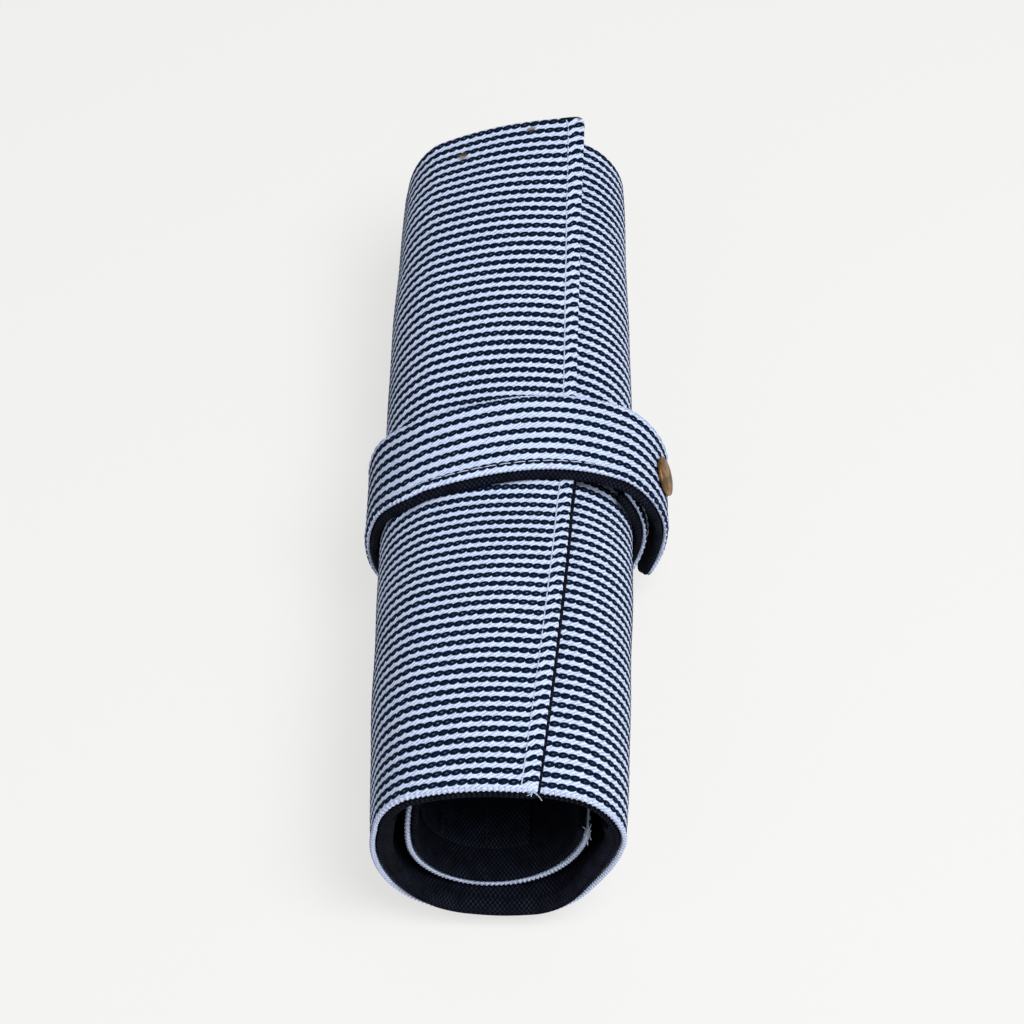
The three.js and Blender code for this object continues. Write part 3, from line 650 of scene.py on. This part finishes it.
# The strap.
# A doubled strap, striped outside and canvas inside, is sewn under the base and wraps the roll at
# a slant. Its long end passes over the flap and ends in the tab, above its short end on the right.
STRAP_LINING_DEPTHS, STRAP_FACE_DEPTHS = (0.4, 2.2), (3.7, 2.5)
STRAP_ON_FLAP, SHOULDER_ARC, TAB_ARCS = (54, 30), (53.97, 19), [(21.8, 61), (35, 28)]
SHORT_END_ARC = (26.5, 30)
STRAP_LEFT_ARCS = [*OUTER_ARCS[:3], STRAP_ON_FLAP, SHOULDER_ARC, *TAB_ARCS]
STRAP_RIGHT_ARCS = [*INNER_ARCS[:2], SHORT_END_ARC]
STRAP_STRIPE_FROM_EDGE, STRAP_STRIPE_PERIOD, STRAP_STRIPE_COUNT = 2.0, 3.25, 7
STRAP_PULL, STRAP_TOP_RUN = 1.3, -94.0
STRAP_LINING_SHOWS = 1.6
STRAP_FACE_EDGES = -STRAP_WIDTH / 2, STRAP_WIDTH / 2
STRAP_LINING_EDGES = -STRAP_WIDTH / 2 - STRAP_LINING_SHOWS, STRAP_WIDTH / 2
STRAP_FACE_COLUMNS, STRAP_FACE_STEP, STRAP_LINING_COLUMNS, STRAP_LINING_STEP = 70, 0.3, 24, 1.2
TAB_CORNER, TAB_CORNER_LEAST = 3.0, 0.2
SCALLOP, SCALLOP_LENGTH, SCALLOP_HEM, SCALLOP_FADE = 0.14, 1.1, 1.2, 0.6


def strap_place(run, across, depth):
    """A point of the strap: `run` round the roll, `across` from its middle line, `depth` outside
    the mat's outer face, in mm.

    Its middle line moves along Y by the sine of the turn, times a slant less a twist that goes
    with the cube of the cosine, so that the slant is steepest over the top.
    """
    run, across, depth = np.broadcast_arrays(*(np.asarray(a, float) for a in (run, across, depth)))
    side, x, z, turn = wound(STRAP_LEFT_ARCS, STRAP_RIGHT_ARCS, run)
    y = across + side * np.sin(turn) * (STRAP_SLANT - STRAP_TWIST * np.cos(turn) ** 3)
    return np.stack([x + side * np.sin(turn) * depth, y, z - np.cos(turn) * depth], -1) * MM


def scalloped_place(run, across, depth):
    """The strap's face: where its yarns turn at the hems, they stand out by a sine of the run."""
    at_hem = np.clip((np.abs(across) - STRAP_WIDTH / 2 + SCALLOP_HEM) / SCALLOP_FADE, 0, 1)
    wave = SCALLOP * np.sin(2 * np.pi * run / SCALLOP_LENGTH)
    return strap_place(run, across + np.sign(across) * at_hem * wave, depth)


def rounded_tab(across):
    """The run of the tab's end: each corner is a quarter of a circle."""
    beyond = np.clip(np.abs(across) - (STRAP_WIDTH / 2 - TAB_CORNER), 0, TAB_CORNER)
    rounded = np.sqrt(np.maximum(TAB_CORNER**2 - beyond**2, TAB_CORNER_LEAST))
    return -(STRAP_LEFT_END - TAB_CORNER + rounded)


STRAP_LEFT_HINGES, STRAP_LEFT_MIDDLES, STRAP_LEFT_END = hinge_runs(STRAP_LEFT_ARCS)
STRAP_RIGHT_HINGES, STRAP_RIGHT_MIDDLES, STRAP_RIGHT_END = hinge_runs(STRAP_RIGHT_ARCS)
# The tab and the short end have bent by this run past their hinges
STRAP_END_BEND = 8.0
STRAP_LEFT_CUTS = [0.0, *-STRAP_LEFT_MIDDLES[:5], -STRAP_LEFT_HINGES[5] - STRAP_END_BEND]
STRAP_RIGHT_CUTS = [0.0, *STRAP_RIGHT_MIDDLES[:2], STRAP_RIGHT_HINGES[2] + STRAP_END_BEND]


def lengths_of_strap():
    """Each length of the strap: two bodies, its end node, the runs of its ends and of its bend."""
    bodies = ["base", "outer_1", "outer_2", "outer_3", "outer_4", "shoulder", "tab"]
    for k, body in enumerate(bodies[1:]):
        start, bent = STRAP_LEFT_CUTS[k:k + 2]
        yield bodies[k], body, body, start, rounded_tab if body == "tab" else bent, bent
    bodies = ["base", "inner_1", "inner_2", "inner_3"]
    for k, node in enumerate(["inner_1", "inner_2", "short_end"]):
        start, bent = STRAP_RIGHT_CUTS[k:k + 2]
        yield bodies[k], bodies[k + 1], node, start, STRAP_RIGHT_END if node == "short_end" else bent, bent


FIRST_STRAP_STRIPE = STRAP_STRIPE_FROM_EDGE - STRAP_WIDTH / 2
STRAP_STRIPES = striped_cloth("strap_cloth", FIRST_STRAP_STRIPE, STRAP_STRIPE_PERIOD, STRAP_STRIPE_COUNT)
STRAP_CANVAS = canvas_cloth("strap_canvas")


def strap_pull(run, end):
    """At the roll's sides the strap's stripes run nearer to its near edge, as a squared sine of
    the run. Where the length ends doesn't matter.
    """
    return STRAP_PULL * np.sin(np.pi * (run - STRAP_TOP_RUN) / STRAP_TOP_RUN) ** 2


def strap_layer(layer, place, edges, depths, cloth, slot, **looks):
    """One cloth of the strap in lengths."""
    for carrier, moved, node, first, last, bent in lengths_of_strap():
        piece = sheet_piece(f"{layer}_cloth_{node}", place, (first, last), edges, depths, cloth,
                            free_end=node in ("tab", "short_end"), **looks)
        bend_between(piece, strap_place, carrier, moved, first, bent)
        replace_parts(piece, f"{layer}_{node}", *([f"{layer}_base"] if node == "inner_1" else []))
        end = -STRAP_LEFT_END if node == "tab" else last
        size = (edges[1] - edges[0]) * MM, flat_length(strap_place, first, end, depths)


strap_layer("strap_face", scalloped_place, STRAP_FACE_EDGES, STRAP_FACE_DEPTHS, STRAP_STRIPES,
            "striped_cloth", columns=STRAP_FACE_COLUMNS, run_step=STRAP_FACE_STEP,
            relief=stripe_relief(FIRST_STRAP_STRIPE, STRAP_STRIPE_PERIOD), chevron=strap_pull)
strap_layer("strap_lining", strap_place, STRAP_LINING_EDGES, STRAP_LINING_DEPTHS[::-1], STRAP_CANVAS,
            "canvas", columns=STRAP_LINING_COLUMNS, run_step=STRAP_LINING_STEP)

# The stitching and the loose threads.
# Twisted cotton thread, sewn by machine: pale rows along the flap's hem and the strap's edges,
# pale overcasting round the near hem and dark rows between the pocket slots. At two corners the
# cut yarns have worked loose.
STITCH_RADIUS, STITCH_LENGTH, STITCH_PITCH = 0.18, 2.6, 2.9
STITCH_RISE, STITCH_SINK, STITCH_STEPS = 0.16, 0.04, 5
FLAP_SEAM_IN = 1.5
TUBE_SIDES = 6
PLY_TURNS, PLY_BUMP, PLY_BUMP_DEPTH = 3.0, 0.5, 0.1
THREAD_ROUGHNESS, THREAD_SPECULAR = 0.8, 0.2
# Each thread's colour lit on its plies and in the painted shade between them
PALE_THREADS = ((0.60, 0.67, 0.86, 1), (0.38, 0.43, 0.60, 1))
DARK_THREADS = ((0.016, 0.020, 0.038, 1), (0.005, 0.006, 0.013, 1))


def tube_piece(name, centres, outs, radius, material):
    """Many short tubes as one mesh: at each point of each path, a hexagon square to the path.

    `centres` and `outs` are arrays of paths by points by XYZ. The UV is the share along the path
    and round it, in turns of the thread.
    """
    paths, points = centres.shape[:2]
    forth = unit(np.gradient(centres, axis=1))
    beside = unit(np.cross(forth, outs))
    up = np.cross(beside, forth)
    angle = np.arange(TUBE_SIDES) * 2 * np.pi / TUBE_SIDES
    ring = np.cos(angle)[:, None] * beside[:, :, None] + np.sin(angle)[:, None] * up[:, :, None]
    grid = centres[:, :, None] + radius * MM * ring
    n, i, j = np.meshgrid(np.arange(paths), np.arange(points - 1), np.arange(TUBE_SIDES), indexing="ij")
    here = (n * points + i) * TUBE_SIDES
    ahead, nxt = here + TUBE_SIDES, (j + 1) % TUBE_SIDES
    quads = np.stack([here + j, here + nxt, ahead + nxt, ahead + j], -1).reshape(-1, 4)
    uv = np.stack([np.stack([i, i, i + 1, i + 1], -1) / (points - 1),
                   np.stack([j, j + 1, j + 1, j], -1) / TUBE_SIDES], -1).reshape(-1, 2)
    tip = np.arange(paths)[:, None] * points * TUBE_SIDES + np.arange(TUBE_SIDES)
    tips = np.concatenate([tip[:, ::-1], tip + (points - 1) * TUBE_SIDES])
    faces = quads.tolist() + tips.tolist()
    return new_piece(name, grid, faces, np.concatenate([uv, np.zeros((tips.size, 2))]), None, material)


def thread_ply():
    """The twist of a thread: half of one more than the sine on the slant of its UV."""
    tree, put, do, given = node_group("thread_ply", ("Along", "Round"), ("Ply",))
    slant = do("MULTIPLY", do("MULTIPLY_ADD", given["Along"], PLY_TURNS, given["Round"]), 2 * np.pi)
    put("NodeGroupOutput", {"Ply": do("MULTIPLY_ADD", do("SINE", slant), 0.5, 0.5)})
    return tree


THREAD_PLY = thread_ply()


def sewing_thread(name, lit, shade):
    """Twisted cotton thread, with painted shade between its plies."""
    material, put, do, shader, along, around = new_material(name, THREAD_ROUGHNESS, THREAD_SPECULAR)
    twist = put("ShaderNodeGroup", {"Along": along, "Round": around}, node_tree=THREAD_PLY)
    ply = twist.outputs["Ply"]
    dress(put, shader, mixed(put, ply, lit, shade), ply, PLY_BUMP, PLY_BUMP_DEPTH)
    return material


def stitch_row(place, runs, alongs, depth):
    """Stitches from (runs[0], alongs[0]) to (runs[1], alongs[1]) of each column, as paths and outs.

    Each rises from the cloth and dives back as the sine of the share along it.
    """
    share = np.linspace(0, 1, STITCH_STEPS)
    run = runs[0][:, None] + (runs[1] - runs[0])[:, None] * share
    along = alongs[0][:, None] + (alongs[1] - alongs[0])[:, None] * share
    deep = depth[0] + depth[1] * np.sin(np.pi * share)
    path = place(run, along, deep)
    return path, place(run, along, deep + np.sign(depth[1])) - path


PALE_THREAD = sewing_thread("pale_thread", *PALE_THREADS)
DARK_THREAD = sewing_thread("dark_thread", *DARK_THREADS)
flap_start = np.arange(NEAR_HEM + FLAP_SEAM_IN, FAR_HEM - STITCH_LENGTH, STITCH_PITCH)
flap_ends = np.stack([flap_start, flap_start + STITCH_LENGTH])
flap_rows = stitch_row(mat_place, flap_edge(flap_ends) + FLAP_HEM, flap_ends,
                       (SHELL_DEPTHS[0] - STITCH_SINK, STITCH_RISE))
flap_stitches = tube_piece("flap_stitches", *flap_rows, STITCH_RADIUS, PALE_THREAD)
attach(flap_stitches, "outer_4")

OVERCAST_PITCH, OVERCAST_RADIUS, OVERCAST_SLANT = 1.15, 0.27, 0.125
# Each overcast stitch goes round the hem's edge from angle to angle, and stands off a line inside it
OVERCAST_BEND = np.linspace(-1.9, 1.9, 7)
OVERCAST_CORE = 3.0
hem_middle, hem_reach = sum(SHELL_DEPTHS) / 2, (SHELL_DEPTHS[0] - SHELL_DEPTHS[1]) / 2
for carrier, moved, first, last, bent in shell_lengths:
    stop = last(NEAR_HEM) if callable(last) else last
    count = int(abs(stop - first) / OVERCAST_PITCH)
    start = first + (stop - first) * (np.arange(count) + 0.5) / count
    run = start[:, None] + OVERCAST_SLANT * OVERCAST_BEND
    along = NEAR_HEM + hem_reach * (1 - np.cos(OVERCAST_BEND))
    paths = mat_place(run, along, hem_middle + hem_reach * np.sin(OVERCAST_BEND))
    outs = paths - mat_place(run, NEAR_HEM + OVERCAST_CORE * hem_reach, hem_middle)
    overcast = tube_piece(f"hem_overcast_{moved}", paths, outs, OVERCAST_RADIUS, PALE_THREAD)
    bend_between(overcast, mat_place, carrier, moved, first, bent)

STRAP_STITCH_RADIUS, STRAP_SEAM, STRAP_SEAM_STOP, STITCH_START = 0.13, 0.7, 3.5, 0.1
STRAP_SEAMS = FIRST_STRAP_STRIPE, STRAP_WIDTH / 2 - STRAP_SEAM
for carrier, moved, node, first, last, bent in lengths_of_strap():
    stop = -STRAP_LEFT_END + STRAP_SEAM_STOP if node == "tab" else last
    stop = stop - STRAP_SEAM_STOP if node == "short_end" else stop
    count = int(abs(stop - first) / STITCH_PITCH)
    start = first + (stop - first) * (np.arange(count) + STITCH_START) / count
    runs = np.tile(np.stack([start, start + np.sign(stop - first) * STITCH_LENGTH]), 2)
    alongs = np.repeat([STRAP_SEAMS, STRAP_SEAMS], count, axis=1)
    rows = stitch_row(strap_place, runs, alongs, (STRAP_FACE_DEPTHS[0] + STITCH_SINK, STITCH_RISE))
    row = tube_piece(f"strap_stitches_{node}", *rows, STRAP_STITCH_RADIUS, PALE_THREAD)
    bend_between(row, strap_place, carrier, moved, first, bent)

POCKET_SLOT, FIRST_SLOT, POCKET_SEAM_IN = 15.4, 2.0, 1.0
for carrier, moved, first, last, bend in lengths_of_pockets():
    slots = np.arange(POCKET_CUTS[0] + FIRST_SLOT, POCKET_CUTS[-1], POCKET_SLOT)
    slots = slots[(slots > first) & (slots < last)]
    start = np.arange(POCKET_NEAR + POCKET_SEAM_IN, POCKET_FAR - STITCH_LENGTH, STITCH_PITCH)
    runs = np.repeat(slots, len(start)) * np.ones((2, 1))
    alongs = np.tile(np.stack([start, start + STITCH_LENGTH]), len(slots))
    rows = stitch_row(mat_place, runs, alongs, (POCKET_DEPTHS[0] + STITCH_SINK, -STITCH_RISE))
    row = tube_piece(f"pocket_stitches_{moved}", *rows, STITCH_RADIUS, DARK_THREAD)
    bend_between(row, mat_place, carrier, moved, *bend)

LOOSE_RADIUS, LOOSE_LENGTH, LOOSE_COUNT, LOOSE_STEPS = 0.09, 1.3, 12, 8
LOOSE_SPREAD, LOOSE_CURL, LOOSE_SHORTEST, LOOSE_ROOT = 0.55, 0.8, 0.45, 0.25
LOOSE_OUT = (0.3, 0.2, 0.93)
random = np.random.default_rng(11)


def loose_threads(name, root, heading, body):
    """Frayed yarns from one corner: each bends away from the heading as the square of the way."""
    share = np.linspace(0, 1, LOOSE_STEPS)[None, :, None]
    away = heading + random.normal(0, LOOSE_SPREAD, (LOOSE_COUNT, 1, 3))
    curl_to = random.normal(0, LOOSE_CURL, (LOOSE_COUNT, 1, 3))
    reach = LOOSE_LENGTH * random.uniform(LOOSE_SHORTEST, 1.0, (LOOSE_COUNT, 1, 1))
    roots = root + random.normal(0, LOOSE_ROOT, (LOOSE_COUNT, 1, 3)) * MM
    paths = roots + reach * MM * (away * share + curl_to * share**2)
    piece = tube_piece(name, paths, np.broadcast_to(LOOSE_OUT, paths.shape), LOOSE_RADIUS, PALE_THREAD)
    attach(piece, body)


loose_threads("loose_threads_flap", mat_place(flap_edge(NEAR_HEM) + 0.8, NEAR_HEM + 0.4, -0.5),
              np.array([0.1, -0.55, -0.25]), "outer_4")
loose_threads("loose_threads_end", mat_place(MAT_END - 0.6, NEAR_HEM + 0.3, -0.6),
              np.array([-0.2, -0.3, 0.5]), "inner_8")

# The button and its magnet.
# A small domed cap of aged brass is riveted through the tab to a steel disc in its lining. It
# holds on a magnet in a steel case, riveted through the strap's short end to a back plate.
BUTTON_DEGREES, MAGNET_DEGREES = 41.0, 10.5
BUTTON_RUN = -(STRAP_LEFT_HINGES[5] + TAB_ARCS[0][0] * np.radians(BUTTON_DEGREES))
MAGNET_RUN = STRAP_RIGHT_HINGES[2] + SHORT_END_ARC[0] * np.radians(MAGNET_DEGREES)
CAP_RADIUS, CAP_DEPTHS, CAP_DOME = 5.0, (4.0, 4.8), 0.5
DISC_RADIUS, BUTTON_DISC_DEPTHS, MAGNET_DEPTHS = 4.5, (0.4, 1.1), (3.4, 4.1)
BACK_RADIUS, BACK_DEPTHS = 4.0, (0.4, 1.2)
METAL_EDGE, EDGE_STEPS, DOME_STEPS, TURNED_SIDES = 0.25, 9, 9, 48


def rounded_profile(radius, low, high, dome):
    """A turned profile from the axis below to the axis above, with rounded edges and a dome.

    The dome is high by the square root of one less the square of the way out.
    """
    bend = np.linspace(-np.pi / 2, np.pi / 2, EDGE_STEPS)
    thick = min(METAL_EDGE, (high - low) / 2)
    rim = np.stack([radius - thick + thick * np.cos(bend),
                    np.where(bend < 0, low + thick, high - thick) + thick * np.sin(bend)], -1)
    out = np.linspace(1, 0, DOME_STEPS)[1:]
    crown = np.stack([(radius - thick) * out, high + dome * np.sqrt(1 - out**2)], -1)
    return np.concatenate([[[0, low]], rim, crown])


def turned_piece(name, run, profile, material):
    """A profile of (radius, depth) turned about the line square to the strap at a run.

    The UV is the place on the face, in mm from the axis.
    """
    foot, tip = strap_place(np.array([run, run]), 0.0, np.array([0.0, 1.0]))
    axis = (tip - foot) / MM
    beside = np.array([0.0, 1.0, 0.0])
    ahead = np.cross(axis, beside)
    angle = np.arange(TURNED_SIDES) * 2 * np.pi / TURNED_SIDES
    round_axis = np.cos(angle)[:, None] * beside + np.sin(angle)[:, None] * ahead
    inner = profile[1:-1]
    rings = foot + MM * (inner[:, 0, None, None] * round_axis + inner[:, 1, None, None] * axis)
    poles = foot + MM * profile[[0, -1], 1][:, None] * axis
    points = np.concatenate([rings.reshape(-1, 3), poles])
    i, j = np.meshgrid(np.arange(len(inner) - 1), np.arange(TURNED_SIDES), indexing="ij")
    here, nxt = i * TURNED_SIDES, (j + 1) % TURNED_SIDES
    above = here + TURNED_SIDES
    quads = np.stack([here + j, here + nxt, above + nxt, above + j], -1).reshape(-1, 4)
    k = np.arange(TURNED_SIDES)
    after, top = (k + 1) % TURNED_SIDES, (len(inner) - 1) * TURNED_SIDES
    fans = np.concatenate([np.stack([after, k, np.full(TURNED_SIDES, len(points) - 2)], -1),
                           np.stack([top + k, top + after, np.full(TURNED_SIDES, len(points) - 1)], -1)])
    flat = (points - foot) @ np.stack([beside, ahead], -1) / MM
    corners = np.concatenate([quads.ravel(), fans.ravel()])
    return new_piece(name, points, quads.tolist() + fans.tolist(), flat[corners], None, material)


PATCH_SCALE, PATCH_SHARE = 0.3, 0.85
SCRATCH_SCALE, SCRATCH_DRAWN, SCRATCH_SHARE = 1.6, (0.4, 9.0), 0.25
TARNISH_EDGE, TARNISH_ROUGH = (0.40, 0.66), 0.18
SCRATCH_BUMP, SCRATCH_BUMP_DEPTH = 0.25, 0.1
METAL_SPECULAR = 0.5


def tarnish():
    """Tarnish in patches of noise, and scratches from a noise drawn out along the run."""
    tree, put, do, given = node_group("tarnish", ("Run", "Across"), ("Tarnish", "Scratch"))
    patch = noise(put, given["Run"], given["Across"], PATCH_SCALE, 6.0)
    drawn = [do("MULTIPLY", given[way], by) for way, by in zip(("Run", "Across"), SCRATCH_DRAWN)]
    scratch = noise(put, *drawn, SCRATCH_SCALE, 3.0)
    level = do("MULTIPLY_ADD", scratch, SCRATCH_SHARE, do("MULTIPLY", patch, PATCH_SHARE))
    put("NodeGroupOutput", {"Tarnish": step_between(put, level, *TARNISH_EDGE), "Scratch": scratch})
    return tree


TARNISH = tarnish()
BRASS_BRIGHT, BRASS_DULL = (0.36, 0.19, 0.065, 1), (0.15, 0.080, 0.028, 1)
STEEL_BRIGHT, STEEL_DULL = (0.56, 0.56, 0.55, 1), (0.40, 0.40, 0.39, 1)


def aged_metal(name, bright, dull, metallic, roughness):
    """Metal that is duller and rougher where it is tarnished, with fine scratches."""
    material, put, do, shader, run, across = new_material(name, roughness, METAL_SPECULAR)
    aged = put("ShaderNodeGroup", {"Run": run, "Across": across}, node_tree=TARNISH).outputs
    rough = do("MULTIPLY_ADD", aged["Tarnish"], TARNISH_ROUGH, roughness)
    material.node_tree.links.new(rough, shader.inputs["Roughness"])
    shader.inputs["Metallic"].default_value = metallic
    colour = mixed(put, aged["Tarnish"], bright, dull)
    dress(put, shader, colour, aged["Scratch"], SCRATCH_BUMP, SCRATCH_BUMP_DEPTH)
    return material


BRASS = aged_metal("aged_brass", BRASS_BRIGHT, BRASS_DULL, 0.85, 0.36)
STEEL = aged_metal("plated_steel", STEEL_BRIGHT, STEEL_DULL, 0.95, 0.30)
for node, run, radius, depths, dome, body, metal, slot in (
        ("button_cap", BUTTON_RUN, CAP_RADIUS, CAP_DEPTHS, CAP_DOME, "tab", BRASS, "brass"),
        ("button_disc", BUTTON_RUN, DISC_RADIUS, BUTTON_DISC_DEPTHS, 0.0, "tab", STEEL, "steel"),
        ("magnet_disc", MAGNET_RUN, DISC_RADIUS, MAGNET_DEPTHS, 0.0, "inner_3", STEEL, "steel"),
        ("magnet_back", MAGNET_RUN, BACK_RADIUS, BACK_DEPTHS, 0.0, "inner_3", STEEL, "steel")):
    turned = turned_piece(f"{node}_turned", run, rounded_profile(radius, *depths, dome), metal)
    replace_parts(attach(turned, body), node)

# Floor, light and camera.
# A plain pale floor under soft light from above and the right, seen from the photograph's angle.
# None of it is part of the object.
WORLD_STRENGTH = 0.26
FLOOR_SIZE, FLOOR_DROP = 6.0, 0.0002
FLOOR_PALE, FLOOR_SEEN, FLOOR_SEEN_SHARE = (0.80, 0.80, 0.79, 1), (0.90, 0.90, 0.885, 1), 0.75
FLOOR_ROUGHNESS, FLOOR_SPECULAR = 0.9, 0.1
# Each light's place, size and power, in metres and watts
LIGHTS = {"key": ((0.40, -0.35, 1.2), 0.7, 17.5), "fill": ((-0.7, -0.6, 0.8), 1.0, 1.5)}
world = bpy.data.worlds.new("studio")
bpy.context.scene.world = world
world.use_nodes = True
sky = world.node_tree.nodes["Background"].inputs
sky["Color"].default_value = (1, 1, 1, 1)
sky["Strength"].default_value = WORLD_STRENGTH


def pale_floor():
    """A pale matt floor. Rays that see it, direct or mirrored, get an even share of one pale tone."""
    material = bpy.data.materials.new("pale_floor")
    material.use_nodes = True
    tree = material.node_tree
    put = nodes_of(tree)
    do = sums(put)
    shader = tree.nodes["Principled BSDF"]
    shader.inputs["Base Color"].default_value = FLOOR_PALE
    shader.inputs["Roughness"].default_value = FLOOR_ROUGHNESS
    shader.inputs["Specular IOR Level"].default_value = FLOOR_SPECULAR
    tone = put("ShaderNodeEmission", {"Color": FLOOR_SEEN}).outputs[0]
    ray = put("ShaderNodeLightPath").outputs
    mirrored = do("MAXIMUM", ray["Is Glossy Ray"], ray["Is Transmission Ray"])
    share = do("MULTIPLY", do("MAXIMUM", ray["Is Camera Ray"], mirrored), FLOOR_SEEN_SHARE)
    blend = put("ShaderNodeMixShader", {0: share, 1: shader.outputs[0], 2: tone})
    tree.links.new(blend.outputs[0], tree.nodes["Material Output"].inputs[0])
    return material


bpy.ops.mesh.primitive_plane_add(size=FLOOR_SIZE, location=(0, 0, -FLOOR_DROP))
floor = bpy.context.object
floor.name = "floor"
floor.data.materials.append(pale_floor())

for name, (place, size, power) in LIGHTS.items():
    lamp = bpy.data.lights.new(name, "AREA")
    lamp.energy, lamp.size = power, size
    holder = bpy.data.objects.new(name, lamp)
    holder.location = place
    holder.rotation_euler = (-Vector(place)).to_track_quat("-Z", "Y").to_euler()
    bpy.context.scene.collection.objects.link(holder)

CAMERA_AIM = Vector((0.00062, 0.00199, 0.025))
CAMERA_AZIMUTH, CAMERA_HEIGHT, CAMERA_DISTANCE = np.radians(1.08), np.radians(53.0), 0.73217
CAMERA_LENS, CAMERA_SENSOR = 101.08, 36.0
lens = bpy.data.cameras.new("camera")
lens.lens, lens.sensor_width = CAMERA_LENS, CAMERA_SENSOR
camera = bpy.data.objects.new("camera", lens)
back = Vector((np.sin(CAMERA_AZIMUTH) * np.cos(CAMERA_HEIGHT),
               -np.cos(CAMERA_AZIMUTH) * np.cos(CAMERA_HEIGHT), np.sin(CAMERA_HEIGHT)))
camera.location = CAMERA_AIM + back * CAMERA_DISTANCE
camera.rotation_euler = (-back).to_track_quat("-Z", "Y").to_euler()
bpy.context.scene.collection.objects.link(camera)
bpy.context.scene.camera = camera
bpy.context.scene.view_settings.view_transform = "Standard"
